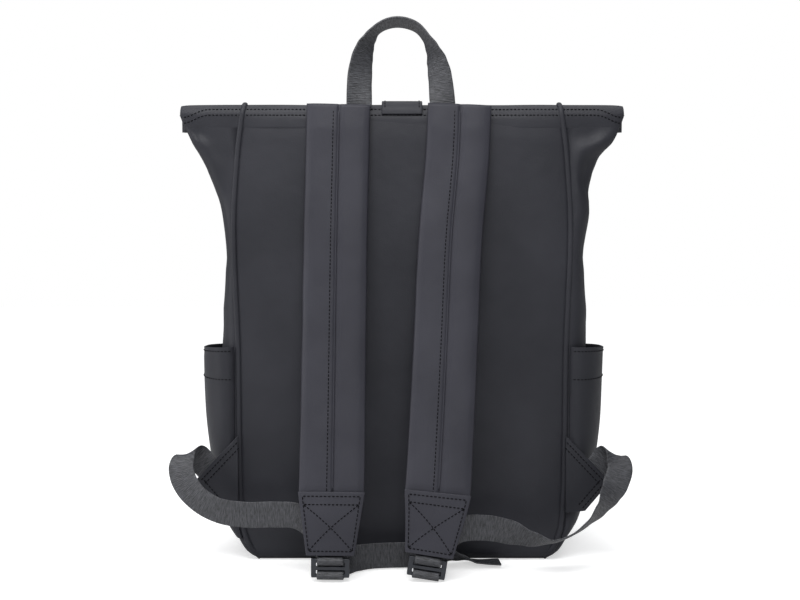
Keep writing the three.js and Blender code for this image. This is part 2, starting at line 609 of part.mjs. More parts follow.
add('zip_slider', toGeometry(sliderBlock.subtract(sliderChannel).add(bridge).subtract(bridgeEye)), metal);

const PULL_LENGTH = 22;
const PULL_HALF = 3.5;
const PULL_TOP = 0.8;
const PULL_THICK = 1.2;
const pullShape = new THREE.Shape(rectangle(PULL_HALF, -PULL_LENGTH, PULL_TOP));
pullShape.holes.push(new THREE.Path(rectangle(1.8, -4.5, -0.7)));
const pull = new THREE.ExtrudeGeometry(pullShape, { depth: PULL_THICK, bevelEnabled: false });
pull.translate(0, 0, -PULL_THICK / 2).rotateX(Math.PI / 2).translate(SLIDER_X, pullY, ZIP_Z);
add('zip_pull', pull, metal);

export default backpack;
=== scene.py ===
# A black leather roll-top backpack, seen from the strap side. Everything is worked out in millimetres
# and made in metres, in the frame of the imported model.
import math
from itertools import product

import bmesh
import bpy
import numpy as np
from mathutils import Matrix, Vector, noise


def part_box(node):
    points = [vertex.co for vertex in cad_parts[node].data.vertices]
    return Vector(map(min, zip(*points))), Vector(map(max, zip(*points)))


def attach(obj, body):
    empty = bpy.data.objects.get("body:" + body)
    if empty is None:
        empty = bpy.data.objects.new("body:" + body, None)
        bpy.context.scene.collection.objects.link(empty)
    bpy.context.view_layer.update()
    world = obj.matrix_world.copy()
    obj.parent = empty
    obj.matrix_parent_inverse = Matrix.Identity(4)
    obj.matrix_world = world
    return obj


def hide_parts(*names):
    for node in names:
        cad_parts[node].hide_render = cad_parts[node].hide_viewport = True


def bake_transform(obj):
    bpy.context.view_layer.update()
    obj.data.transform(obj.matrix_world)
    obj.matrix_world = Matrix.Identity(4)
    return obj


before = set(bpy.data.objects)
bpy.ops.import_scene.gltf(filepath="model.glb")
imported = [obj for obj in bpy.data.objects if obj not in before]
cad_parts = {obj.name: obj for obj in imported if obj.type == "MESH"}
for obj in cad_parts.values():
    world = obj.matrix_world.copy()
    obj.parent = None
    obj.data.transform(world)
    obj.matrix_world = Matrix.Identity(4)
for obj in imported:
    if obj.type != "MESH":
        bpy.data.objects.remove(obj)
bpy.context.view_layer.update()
MM = 0.001


def low(node):
    return np.array(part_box(node)[0]) / MM


def high(node):
    return np.array(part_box(node)[1]) / MM


# ---- sizes, from the frame ----
BODY_TOP = high("back_panel")[2]
BACK_FOOT_Y = low("base_panel")[1]
MOUTH_DEPTH = high("mouth_band")[1] - low("mouth_band")[1]
MOUTH_HALF = high("mouth_band")[0]
BACK_TOP_Y = low("top_fold")[1]
FOLD_RADIUS = (high("top_fold")[1] - low("top_fold")[1]) / 2
FOLD_Y = low("top_fold")[1] + FOLD_RADIUS
BAND_LOW = low("mouth_band")[2]
STRAP_TOP = 446
STRAP_FOOT = 25
PATCH_TOP = 76
STRAP_WIDTH = 62
PATCH_FOOT_WIDTH = 44
WEBBING = 25
POCKET_TOP = high("side_pocket_left")[2]
POCKET_FOOT = low("side_pocket_left")[2]

# The bag's form: [height, value] knots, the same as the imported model's.
FRONT_Y = [[0, 58], [12, 63], [80, 67], [150, 68], [230, 60], [300, 38], [360, 5], [400, -23], [423, -36.4],
           [441, -37]]
SEAM_X = [[0, 139], [12, 150], [35, 158], [80, 161], [200, 162], [330, 166], [400, 162], [441, 157]]
CREASE_X = [[0, 147], [10, 160], [30, 171], [60, 177], [150, 184], [240, 184], [300, 180], [350, 183],
            [385, 191], [410, 203], [428, 214], [441, 219]]
SQUARENESS = [[0, 4], [60, 3], [200, 2.5], [330, 2.4], [400, 3], [441, 5]]
POCKET_EASE = [[22, 0], [40, 7], [90, 12], [150, 16], [213, 19]]
# How much further the filled gussets stand out: the bag is a little fuller on its right.
FULLER = {"left": [[200, 0], [240, -3], [290, -4], [340, -4], [385, 0]],
          "right": [[60, 0], [110, 4], [240, 4], [340, 4], [385, 0]]}
FOOT_ROUND = 9                      # rounding between the walls and the base


def profile(knots, at):
    """Value at `at` of the smooth curve through the knots, with no overshoot between them."""
    last = len(knots) - 1
    if at <= knots[0][0]:
        return knots[0][1]
    if at >= knots[last][0]:
        return knots[last][1]

    def slope(i):
        return (knots[i + 1][1] - knots[i][1]) / (knots[i + 1][0] - knots[i][0])

    def tangent(i):
        if i == 0:
            return slope(0)
        if i == last:
            return slope(last - 1)
        before, after = slope(i - 1), slope(i)
        return 0 if before * after <= 0 else 2 * before * after / (before + after)

    i = next(k for k, knot in enumerate(knots) if knot[0] > at) - 1
    span = knots[i + 1][0] - knots[i][0]
    t = (at - knots[i][0]) / span
    rise = t * t * (3 - 2 * t)
    return (knots[i][1] + (knots[i + 1][1] - knots[i][1]) * rise
            + span * (t * (1 - t) ** 2 * tangent(i) - t * t * (1 - t) * tangent(i + 1)))


def lerp(a, b, t):
    return a + (b - a) * t


def foot_inset(z):
    if z >= FOOT_ROUND:
        return 0
    return FOOT_ROUND - math.sqrt(FOOT_ROUND ** 2 - (FOOT_ROUND - z) ** 2)


def back_y(z):
    return lerp(BACK_FOOT_Y, BACK_TOP_Y, z / BODY_TOP) + foot_inset(z)


def front_y(z):
    return profile(FRONT_Y, z) - foot_inset(z)


def seam_x(z):
    return profile(SEAM_X, z)


def gusset_point(z, angle):
    """Outer half-section of a gusset: -90 degrees is the back seam, 0 the crease and 90 the front seam."""
    power = 2 / profile(SQUARENESS, z)
    depth = (front_y(z) - back_y(z)) / 2
    reach = profile(CREASE_X, z) - seam_x(z)
    c = max(math.cos(math.radians(angle)), 0)
    s = math.sin(math.radians(angle))
    return np.array([seam_x(z) + reach * c ** power,
                     back_y(z) + depth + depth * math.copysign(abs(s) ** power, s), z])


# ---- mesh helpers ----
def link(name, mesh, smooth=True):
    """Put a mesh into the scene as an object."""
    mesh.polygons.foreach_set("use_smooth", [smooth] * len(mesh.polygons))
    obj = bpy.data.objects.new(name, mesh)
    bpy.context.scene.collection.objects.link(obj)
    return obj


def new_object(name, verts, faces, uvs=None):
    mesh = bpy.data.meshes.new(name)
    mesh.from_pydata([tuple(np.asarray(v) * MM) for v in verts], [], faces)
    if uvs is not None:
        layer = mesh.uv_layers.new(name="UVMap")
        for loop in mesh.loops:
            layer.data[loop.index].uv = uvs[loop.vertex_index]
    return link(name, mesh)


def from_bmesh(name, bm, smooth=True):
    mesh = bpy.data.meshes.new(name)
    bm.to_mesh(mesh)
    bm.free()
    return link(name, mesh, smooth)


def recalc(obj, weld=False):
    """Turn all faces outwards, after joining points in the same place if asked."""
    bm = bmesh.new()
    bm.from_mesh(obj.data)
    if weld:
        bmesh.ops.remove_doubles(bm, verts=bm.verts, dist=1e-7)
    bmesh.ops.recalc_face_normals(bm, faces=bm.faces)
    bm.to_mesh(obj.data)
    bm.free()
    return obj


def map_uv(obj, place):
    """Set the UVs, in metres, from each point's place."""
    layer = obj.data.uv_layers[0]
    for loop in obj.data.loops:
        layer.data[loop.index].uv = place(obj.data.vertices[loop.vertex_index].co)


def tube_faces(rings, size):
    """Faces of a closed tube of rings of points, one ring after the other, with its two ends."""
    faces = [(k * size + j, k * size + (j + 1) % size, (k + 1) * size + (j + 1) % size, (k + 1) * size + j)
             for k in range(rings - 1) for j in range(size)]
    return faces + [tuple(reversed(range(size))), tuple((rings - 1) * size + j for j in range(size))]


def sheet_between(name, outer, inner, ring=False):
    """Closed skin between two grids of points of the same size, with UVs from 0 to 1 along the grid."""
    rows, columns = len(outer), len(outer[0])
    verts = [p for row in outer for p in row] + [p for row in inner for p in row]
    spans = columns if ring else columns - 1

    def at(side, i, j):
        return (side * rows + i) * columns + j % columns

    faces = []
    end = rows - 1
    for j in range(spans):
        for i in range(end):
            faces.append((at(0, i, j), at(0, i, j + 1), at(0, i + 1, j + 1), at(0, i + 1, j)))
            faces.append((at(1, i, j), at(1, i + 1, j), at(1, i + 1, j + 1), at(1, i, j + 1)))
        faces.append((at(0, 0, j), at(1, 0, j), at(1, 0, j + 1), at(0, 0, j + 1)))
        faces.append((at(0, end, j), at(0, end, j + 1), at(1, end, j + 1), at(1, end, j)))
    if not ring:
        for i in range(end):
            faces.append((at(0, i, 0), at(0, i + 1, 0), at(1, i + 1, 0), at(1, i, 0)))
            faces.append((at(0, i, spans), at(1, i, spans), at(1, i + 1, spans), at(0, i + 1, spans)))
    uvs = [(j / columns, i / rows) for _ in (0, 1) for i in range(rows) for j in range(columns)]
    return recalc(new_object(name, verts, faces, uvs))


def catmull(points, t):
    """Point of the centripetal Catmull-Rom curve through the points, t from 0 to 1."""
    points = [np.asarray(p, float) for p in points]
    place = t * (len(points) - 1)
    i = min(int(place), len(points) - 2)
    w = place - i
    p1, p2 = points[i], points[i + 1]
    p0 = points[i - 1] if i > 0 else 2 * p1 - p2
    p3 = points[i + 2] if i + 2 < len(points) else 2 * p2 - p1
    d0, d1, d2 = (max(np.linalg.norm(b - a), 1e-4) ** 0.5 for a, b in ((p0, p1), (p1, p2), (p2, p3)))
    t1 = (p1 - p0) / d0 - (p2 - p0) / (d0 + d1) + (p2 - p1) / d1
    t2 = (p2 - p1) / d1 - (p3 - p1) / (d1 + d2) + (p3 - p2) / d2
    t1, t2 = t1 * d1, t2 * d1
    return (p1 + t1 * w + (-3 * p1 + 3 * p2 - 2 * t1 - t2) * w ** 2 + (2 * p1 - 2 * p2 + t1 + t2) * w ** 3)


class Route:
    """A curve through stations [centre, direction of the width], with a frame anywhere along it."""

    def __init__(self, stations, steps=400):
        self.centres = [s[0] for s in stations]
        self.widths = [np.asarray(s[1], float) for s in stations]
        samples = [catmull(self.centres, k / steps) for k in range(steps + 1)]
        gaps = [np.linalg.norm(b - a) for a, b in zip(samples, samples[1:])]
        self.reach = np.concatenate([[0], np.cumsum(gaps)])
        self.length = self.reach[-1]
        self.steps = steps

    def at(self, distance):
        """Frame at a distance along the curve: centre, tangent, width direction and normal."""
        distance = min(max(distance, 0), self.length)
        t = np.interp(distance, self.reach, np.linspace(0, 1, self.steps + 1))
        step = 0.5 / self.steps
        centre = catmull(self.centres, t)
        tangent = catmull(self.centres, min(t + step, 1)) - catmull(self.centres, max(t - step, 0))
        tangent /= np.linalg.norm(tangent)
        place = t * (len(self.centres) - 1)
        i = min(int(place), len(self.centres) - 2)
        blend = place - i
        blend = blend * blend * (3 - 2 * blend)
        across = lerp(self.widths[i], self.widths[i + 1], blend)
        across = across - across.dot(tangent) * tangent
        across /= np.linalg.norm(across)
        return centre, tangent, across, np.cross(across, tangent)

    def on(self, distance, side, lift):
        """Point `side` mm across and `lift` mm off the middle."""
        centre, _, across, normal = self.at(distance)
        return centre + across * side + normal * lift


def sweep(name, route, section, step):
    """Closed solid along a route. section(share) gives a closed loop of [across, lift]."""
    count = max(2, int(round(route.length / step)))
    verts, uvs = [], []
    for k in range(count + 1):
        share = k / count
        distance = share * route.length
        centre, _, across, normal = route.at(distance)
        loop = section(share)
        for side, lift in loop:
            verts.append(centre + across * side + normal * lift)
            uvs.append((side * MM, distance * MM))
    return recalc(new_object(name, verts, tube_faces(count + 1, len(loop)), uvs))


def flat_loop(width, thick, across=12, edge=0.5):
    """Cross-section of a webbing: flat faces with round edges."""
    half, rise = width / 2, thick / 2
    faces = np.linspace(-half + edge, half - edge, across)
    loop = [(s, rise) for s in faces]
    loop += [(half - edge * 0.3, rise * 0.72), (half, 0), (half - edge * 0.3, -rise * 0.72)]
    loop += [(s, -rise) for s in faces[::-1]]
    loop += [(-half + edge * 0.3, -rise * 0.72), (-half, 0), (-half + edge * 0.3, rise * 0.72)]
    return loop


# ---- materials ----
def material(name, colour, roughness, **sockets):
    mat = bpy.data.materials.new(name)
    mat.use_nodes = True
    shader = mat.node_tree.nodes["Principled BSDF"]
    shader.inputs["Base Color"].default_value = (*colour, 1)
    shader.inputs["Roughness"].default_value = roughness
    for socket, value in sockets.items():
        shader.inputs[socket.replace("_", " ")].default_value = value
    return mat, mat.node_tree, shader


def node(tree, kind, **values):
    made = tree.nodes.new(kind)
    for key, value in values.items():
        if key in made.inputs:
            made.inputs[key].default_value = value
        else:
            setattr(made, key, value)
    return made


def object_coords(tree):
    return node(tree, "ShaderNodeTexCoord").outputs["Object"]


def noise_tex(tree, vector, scale, detail=3.0, rough=0.5):
    made = node(tree, "ShaderNodeTexNoise", Scale=scale, Detail=detail, Roughness=rough)
    tree.links.new(vector, made.inputs["Vector"])
    return made.outputs["Fac"]


def ramp(tree, factor, stops):
    made = node(tree, "ShaderNodeValToRGB")
    elements = made.color_ramp.elements
    while len(elements) < len(stops):
        elements.new(0.5)
    for element, (place, colour) in zip(elements, stops):
        element.position = place
        element.color = colour if len(colour) == 4 else (*colour, 1)
    tree.links.new(factor, made.inputs["Fac"])
    return made.outputs["Color"]


def bump(tree, shader, height, strength, distance, after=None):
    made = node(tree, "ShaderNodeBump", Strength=strength, Distance=distance)
    tree.links.new(height, made.inputs["Height"])
    if after is not None:
        tree.links.new(after, made.inputs["Normal"])
    tree.links.new(made.outputs["Normal"], shader.inputs["Normal"])
    return made.outputs["Normal"]


def value_range(tree, factor, low_value, high_value):
    made = node(tree, "ShaderNodeMapRange")
    made.inputs["To Min"].default_value = low_value
    made.inputs["To Max"].default_value = high_value
    tree.links.new(factor, made.inputs["Value"])
    return made.outputs["Result"]


def leather(name, dark, light, roughness, grain=1500):
    """Coated leather: fine pebble grain, cloudy tone, and a shine that comes and goes a little."""
    mat, tree, shader = material(name, dark, roughness)
    shader.inputs["Specular IOR Level"].default_value = 0.22
    coords = object_coords(tree)
    cloud = noise_tex(tree, coords, 14, 3)
    colour = ramp(tree, cloud, [(0.3, dark), (0.7, light)])
    tree.links.new(colour, shader.inputs["Base Color"])
    patch = noise_tex(tree, coords, 55, 4, 0.6)
    tree.links.new(value_range(tree, patch, roughness - 0.06, roughness + 0.08), shader.inputs["Roughness"])
    cells = node(tree, "ShaderNodeTexVoronoi", Scale=grain, Randomness=1.0)
    tree.links.new(coords, cells.inputs["Vector"])
    fine = noise_tex(tree, coords, grain * 0.45, 4, 0.65)
    soft = bump(tree, shader, noise_tex(tree, coords, 38, 2), 0.22, 0.004)
    pebble = bump(tree, shader, cells.outputs["Distance"], 0.16, 0.0004, soft)
    bump(tree, shader, fine, 0.2, 0.0005, pebble)
    return mat


def woven(name, dark, light, roughness, rib=0.0016, shine=0.6):
    """Nylon webbing: ribs across its width from the UVs, in metres, with lighter threads here and there,
    partly their own tone and partly painted glints.
    """
    mat, tree, shader = material(name, dark, roughness, Specular_IOR_Level=shine)
    uv = node(tree, "ShaderNodeTexCoord").outputs["UV"]
    stretch = node(tree, "ShaderNodeMapping")
    stretch.inputs["Scale"].default_value = (0.16, 1, 1)
    tree.links.new(uv, stretch.inputs["Vector"])
    threads = noise_tex(tree, stretch.outputs["Vector"], 1.4 / rib, 4, 0.75)
    ribs = node(tree, "ShaderNodeTexWave", bands_direction="Y", Scale=math.pi / 10 / rib, Distortion=0)
    tree.links.new(uv, ribs.inputs["Vector"])
    between = lerp(Vector(dark), Vector(light), 0.45)[:]
    # lighter threads in the base colour: partly thread tone, partly painted glints of the webbing's sheen
    thread_tone_and_glints = ramp(tree, threads, [(0.38, dark), (0.52, between), (0.72, light)])
    tree.links.new(thread_tone_and_glints, shader.inputs["Base Color"])
    tree.links.new(value_range(tree, threads, roughness + 0.25, roughness - 0.3), shader.inputs["Roughness"])
    first = bump(tree, shader, ribs.outputs["Fac"], 0.4, 0.0004)
    bump(tree, shader, threads, 0.6, 0.0006, first)
    return mat


def moulded(name, colour, roughness, metallic=0.0):
    mat, tree, shader = material(name, colour, roughness, Metallic=metallic)
    coords = object_coords(tree)
    speck = noise_tex(tree, coords, 700, 4, 0.6)
    tree.links.new(value_range(tree, speck, roughness - 0.05, roughness + 0.12), shader.inputs["Roughness"])
    tint = noise_tex(tree, coords, 60, 2)
    lighter = tuple(c * 1.35 for c in colour)
    tree.links.new(ramp(tree, tint, [(0.35, colour), (0.75, lighter)]), shader.inputs["Base Color"])
    bump(tree, shader, speck, 0.12, 0.0003)
    return mat


def twisted_thread(name, dark, light):
    mat, tree, shader = material(name, dark, 0.9)
    shader.inputs["Specular IOR Level"].default_value = 0.1
    coords = object_coords(tree)
    fibre = noise_tex(tree, coords, 2600, 3, 0.7)
    tree.links.new(ramp(tree, fibre, [(0.3, dark), (0.7, light)]), shader.inputs["Base Color"])
    bump(tree, shader, fibre, 0.5, 0.0003)
    return mat


PANEL = leather("panel_leather", (0.020, 0.0205, 0.0255), (0.028, 0.0285, 0.035), 0.5)
# The strap leather is the panels' leather in a lighter colour: painted light for the straps' upturned faces,
# which catch more of the top light.
STRAP = leather("strap_leather", (0.028, 0.028, 0.036), (0.037, 0.037, 0.047), 0.5)
# Webbing: its light colour is partly the threads' tone and partly painted glint.
WEB = woven("webbing", (0.010, 0.0105, 0.013), (0.075, 0.077, 0.088), 0.55)
LINING = woven("lining", (0.018, 0.019, 0.022), (0.030, 0.031, 0.036), 0.7, 0.0008, 0.2)
THREAD = twisted_thread("thread", (0.003, 0.003, 0.004), (0.009, 0.009, 0.011))
PLASTIC = moulded("buckle_plastic", (0.016, 0.018, 0.024), 0.38)
METAL = moulded("dark_metal", (0.10, 0.10, 0.11), 0.32, 1.0)
FOAM = moulded("foam", (0.10, 0.10, 0.11), 0.95)
BOARD = moulded("board", (0.015, 0.015, 0.016), 0.8)


def finish_piece(obj, mat, body, replaces=()):
    obj.data.materials.clear()
    obj.data.materials.append(mat)
    if body is not None:
        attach(obj, body)
    if replaces:
        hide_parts(*replaces)
    return obj


def bevel(obj, width, segments=3, angle=40):
    made = obj.modifiers.new("bevel", "BEVEL")
    made.width = width * MM
    made.segments = segments
    made.limit_method = "ANGLE"
    made.angle_limit = math.radians(angle)
    return obj


# ---- stitches ----
STITCH = 3.7                        # one stitch and its gap
STITCH_THICK = 0.95


def stitches(name, rows, body, pitch=STITCH, thick=STITCH_THICK, lift=0.12):
    """Lock stitches along rows of (point, normal): each a small rounded capsule sunk into the surface."""
    verts, faces = [], []
    sides = 6
    capsule = tube_faces(5, sides)
    for row in rows:
        points = np.array([p for p, _ in row], float)
        normals = np.array([n for _, n in row], float)
        reach = np.concatenate([[0], np.cumsum(np.linalg.norm(np.diff(points, axis=0), axis=1))])
        count = max(1, int(reach[-1] / pitch))
        gap = reach[-1] / count

        def place(distance):
            p = np.array([np.interp(distance, reach, points[:, k]) for k in range(3)])
            n = np.array([np.interp(distance, reach, normals[:, k]) for k in range(3)])
            return p, n / np.linalg.norm(n)

        for k in range(count):
            a, n = place((k + 0.15) * gap)
            b, _ = place((k + 0.85) * gap)
            along = (b - a) / np.linalg.norm(b - a)
            across = np.cross(n, along)
            base = len(verts)
            for share, size, rise in ((0, 0.45, -0.35), (0.18, 0.95, 0.1), (0.5, 1.0, 0.3), (0.82, 0.95, 0.1),
                                      (1, 0.45, -0.35)):
                centre = lerp(a, b, share) + n * (lift + rise * thick)
                for turn in range(sides):
                    angle = 2 * math.pi * turn / sides
                    verts.append(centre + (across * math.cos(angle) + n * math.sin(angle)) * thick * size / 2)
            faces += [tuple(base + corner for corner in face) for face in capsule]
    obj = new_object(name, verts, faces)
    return finish_piece(obj, THREAD, body)


def level_row(y, z, half, count):
    """Points and normals of a level row on a face that looks to the front."""
    return [((x, y, z), (0, 1, 0)) for x in np.linspace(-half, half, count)]


# ---- camera, light and floor ----
def look(obj, target):
    direction = Vector(target) - obj.location
    obj.rotation_euler = direction.to_track_quat("-Z", "Y").to_euler()


CAMERA_AT = (-0.002, -1.210, 0.334)
CAMERA_TARGET = (-0.002, -0.060, 0.2596)
lens = bpy.data.cameras.new("camera")
lens.lens = 52.86
lens.sensor_width = 36
camera = bpy.data.objects.new("camera", lens)
camera.location = CAMERA_AT
look(camera, CAMERA_TARGET)
bpy.context.scene.collection.objects.link(camera)
bpy.context.scene.camera = camera


def area_light(name, at, target, size, power):
    data = bpy.data.lights.new(name, "AREA")
    data.shape = "RECTANGLE"
    data.size, data.size_y = size
    data.energy = power
    obj = bpy.data.objects.new(name, data)
    obj.location = at
    look(obj, target)
    bpy.context.scene.collection.objects.link(obj)
    return obj


MIDDLE = (0, 0, 0.25)
area_light("top_light", (-0.15, -0.75, 1.25), (0, 0, 0.4), (1.0, 0.5), 12)
area_light("key_light", (0.1, -1.8, 1.2), MIDDLE, (0.5, 0.6), 6)
area_light("left_light", (-1.5, -0.5, 0.7), MIDDLE, (0.8, 1.2), 11)
sun = bpy.data.lights.new("overhead", "SUN")
sun.energy = 1.5
sun.angle = math.radians(60)
overhead = bpy.data.objects.new("overhead", sun)
overhead.location = (0.1, 0.4, 3)
look(overhead, (0, 0, 0))
bpy.context.scene.collection.objects.link(overhead)

world = bpy.data.worlds.new("world")
world.use_nodes = True
sky = world.node_tree
sky_light = sky.nodes["Background"]
sky_light.inputs["Color"].default_value = (0.92, 0.95, 1, 1)
sky_light.inputs["Strength"].default_value = 0.2
sky_seen = node(sky, "ShaderNodeBackground", Color=(1, 1, 1, 1), Strength=1.0)
seen = node(sky, "ShaderNodeLightPath")
pick = node(sky, "ShaderNodeMixShader")
sky.links.new(seen.outputs["Is Camera Ray"], pick.inputs[0])
sky.links.new(sky_light.outputs[0], pick.inputs[1])
sky.links.new(sky_seen.outputs[0], pick.inputs[2])
sky.links.new(pick.outputs[0], sky.nodes["World Output"].inputs["Surface"])
bpy.context.scene.world = world
bpy.context.scene.view_settings.view_transform = "Standard"

floor_mat, floor_tree, floor_shader = material("floor", (0.7, 0.7, 0.7), 0.8)
floor_tint = noise_tex(floor_tree, object_coords(floor_tree), 3, 2)
floor_tree.links.new(ramp(floor_tree, floor_tint, [(0.3, (0.69, 0.69, 0.69)), (0.7, (0.72, 0.72, 0.72))]),
                     floor_shader.inputs["Base Color"])
floor_shader.inputs["Emission Color"].default_value = (1, 1, 1, 1)
floor_seen = node(floor_tree, "ShaderNodeLightPath")
floor_tree.links.new(value_range(floor_tree, floor_seen.outputs["Is Camera Ray"], 0, 0.56),
                     floor_shader.inputs["Emission Strength"])
floor_mesh = bpy.data.meshes.new("floor")
FLOOR_HALF, FLOOR_BACK = 6, 3.5     # metres
floor_mesh.from_pydata(
    [(-FLOOR_HALF, -FLOOR_HALF, 0), (FLOOR_HALF, -FLOOR_HALF, 0), (FLOOR_HALF, FLOOR_BACK, 0),
     (-FLOOR_HALF, FLOOR_BACK, 0)], [], [(0, 1, 2, 3)])
floor = bpy.data.objects.new("floor", floor_mesh)
floor.data.materials.append(floor_mat)
bpy.context.scene.collection.objects.link(floor)


# ---- body ----
WALL = 3
SIDES = (("left", -1), ("right", 1))


def levels(bottom, top, step=4.0):
    count = int(round((top - bottom) / step))
    return [lerp(bottom, top, k / count) for k in range(count + 1)]


def distance_to(path, x, z):
    """Distance from (x, z) to a polyline, and how far along it the nearest point is, 0 to 1."""
    best = (1e9, 0)
    for k, ((ax, az), (bx, bz)) in enumerate(zip(path, path[1:])):
        dx, dz = bx - ax, bz - az
        t = min(max(((x - ax) * dx + (z - az) * dz) / (dx * dx + dz * dz), 0), 1)
        gap = math.hypot(x - ax - t * dx, z - az - t * dz)
        best = min(best, (gap, (k + t) / (len(path) - 1)))
    return best


# Creases of the gussets, seen from behind: [path of (x, z)], height, half width.
# Negative heights are valleys.
GUSSET_CREASES = {
    "right": [
        ([(214, 424), (194, 413), (176, 407), (170, 396), (171, 372), (175, 348), (179, 322)], 5.5, 8),
        ([(207, 408), (188, 396), (181, 380), (182, 356)], -4.5, 8),
        ([(166, 424), (182, 420), (196, 424)], -2.2, 8),
        ([(178, 300), (176, 262), (179, 232)], 1.6, 9),
    ],
    "left": [
        ([(212, 424), (196, 408), (186, 390), (180, 362), (176, 325)], 3.2, 9),
        ([(206, 420), (198, 424), (188, 418)], -2.6, 6),
        ([(168, 410), (172, 380), (170, 340)], -1.6, 8),
        ([(178, 300), (175, 262), (178, 232)], 1.4, 9),
    ],
}


def crease_lift(side, x, z):
    total = 0
    for path, height, width in GUSSET_CREASES[side]:
        gap, share = distance_to(path, x, z)
        fade = min(1, share * 6) * min(1, (1 - share) * 3 + 0.15)
        total += height * math.exp(-((gap / width) ** 2)) * fade
    return total


def with_outward(z, angle, turn):
    """Point of a gusset's section, and the level direction out of it from its neighbours a turn away."""
    before, here, after = (gusset_point(z, angle + step) for step in (-turn, 0, turn))
    out = np.array([after[1] - before[1], before[0] - after[0], 0])
    return here, out / max(np.linalg.norm(out), 1e-9)


def gusset_surface(side, sign, z, angle):
    """Outer surface of a gusset with its creases, and the direction out of it."""
    here, out = with_outward(z, angle, 1.5)
    near_seam = max(math.cos(math.radians(angle)), 0) ** 0.35
    mouth = min(1, max(0, (BODY_TOP - z) / 14))
    back_half = 1 if angle < 0 else 0.55
    ripple = noise.noise(Vector((here[0] * 0.016 * sign, here[1] * 0.02, z * 0.013))) * 1.6
    lift = (crease_lift(side, here[0], z) * back_half + ripple) * near_seam * mouth
    lift += profile(FULLER[side], z) * max(math.cos(math.radians(angle)), 0)
    here = here + out * lift
    return np.array([sign * here[0], here[1], z]), np.array([sign * out[0], out[1], 0])


def make_gusset(side, sign):
    outer, inner = [], []
    angles = np.linspace(-90, 90, 61)
    for z in levels(0.6, BODY_TOP, 4):
        outer_row, inner_row = [], []
        for angle in angles:
            here, out = gusset_surface(side, sign, z, angle)
            thin = min(WALL, (front_y(z) - back_y(z)) / 2 - 1.5)
            outer_row.append(here)
            inner_row.append(here - out * thin)
        outer.append(outer_row)
        inner.append(inner_row)
    obj = sheet_between(f"gusset_leather_{side}", outer, inner)
    return finish_piece(obj, PANEL, "root", [f"gusset_{side}"])


for side, sign in SIDES:
    make_gusset(side, sign)


def panel_lift(x, z, half):
    """Soft padding of a panel: full in the middle, tight at its seams."""
    edge = min(1, (half - abs(x)) / 26)
    foot = min(1, z / 30)
    head = min(1, (BODY_TOP - z) / 22)
    return 2.4 * (max(edge, 0) * max(foot, 0) * max(head, 0)) ** 0.6


def make_panel(name, node_name, face, outwards, columns=61):
    outer, inner = [], []
    for z in levels(0.6, BODY_TOP, 4):
        half = seam_x(z)
        row = [lerp(-half, half, j / (columns - 1)) for j in range(columns)]
        y = face(z)
        outer.append([(x, y + outwards * (panel_lift(x, z, half)
                                          + 0.7 * noise.noise(Vector((x * 0.012, outwards * 3, z * 0.01)))
                                          * min(1, (half - abs(x)) / 20)), z) for x in row])
        inner.append([(x, y - outwards * WALL, z) for x in row])
    obj = sheet_between(name, outer, inner)
    return finish_piece(obj, PANEL, "root", [node_name])


make_panel("back_leather", "back_panel", back_y, -1)
make_panel("front_leather", "front_panel", front_y, 1)


def make_base():
    outline = []
    for sign in (1, -1):
        for angle in np.linspace(-90, 90, 31) * sign:
            p = gusset_point(0.6, angle)
            outline.append((sign * p[0], p[1]))
    verts = []
    for z, shrink in ((0.0, 3.0), (0.25, 1.0), (1.2, 0.1), (3.0, 0.4)):
        verts += [(x - math.copysign(shrink, x), y - math.copysign(shrink, y - 1), z) for x, y in outline]
    obj = recalc(new_object("base_leather", verts, tube_faces(4, len(outline))))
    return finish_piece(obj, PANEL, "root", ["base_panel"])


make_base()


# Welts: the raised, turned seams between the panels and the gussets.
SEAM_SUNK = 0.4


def front_seam_route(sign):
    heights = levels(2, BODY_TOP - 18, 9)
    return Route([[(sign * seam_x(z), front_y(z) - SEAM_SUNK, z), (1, 0, 0)] for z in heights])


WELT = 5.4


def welt_section(rise, width):
    def section(share):
        taper = min(1, share * 14 + 0.35)
        loop = []
        for k in range(14):
            turn = math.pi * k / 13
            loop.append((-width / 2 * math.cos(turn), rise * taper * math.sin(turn) ** 0.7))
        root_lift = -math.copysign(1.4, rise)
        return loop + [(width / 2, root_lift), (-width / 2, root_lift)]
    return section


def back_seam_route(sign):
    """Up the seam of the back and on over the fold, nearly to its crown."""
    stations = [[(sign * seam_x(z), back_y(z) + SEAM_SUNK, z), (1, 0, 0)] for z in levels(2, BODY_TOP - 4, 9)]
    radius = FOLD_RADIUS - 0.2
    for turn in np.radians([12, 30, 48, 64, 78]):
        x = sign * (seam_x(BODY_TOP) - 2 * math.sin(turn))
        y = FOLD_Y - radius * math.cos(turn)
        stations.append([(x, y, BODY_TOP - 0.4 + radius * math.sin(turn)), (1, 0, 0)])
    return Route(stations)


def turn_over(obj):
    """Bake the piece's place into its own points, with no body to move with."""
    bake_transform(obj)


for side, sign in SIDES:
    back_welt = sweep(f"back_welt_{side}", back_seam_route(sign), welt_section(2.6, WELT), 4)
    finish_piece(back_welt, PANEL, None, [f"back_seam_{side}"])
    turn_over(back_welt)
    front_welt = sweep(f"front_welt_{side}", front_seam_route(sign), welt_section(-1.8, 4.4), 5)
    finish_piece(front_welt, PANEL, "root")


# ---- top: fold and rolled band ----
def wall_y(x, z):
    """Outer surface of the back, panel or gusset, at x and z near the top."""
    half = seam_x(z)
    if abs(x) <= half:
        return back_y(z) - panel_lift(x, z, half)
    share = min((abs(x) - half) / (profile(CREASE_X, z) - half), 0.995)
    angle = -math.degrees(math.acos(share ** (profile(SQUARENESS, z) / 2)))
    side, sign = SIDES[0] if x < 0 else SIDES[1]
    return gusset_surface(side, sign, z, angle)[0][1]


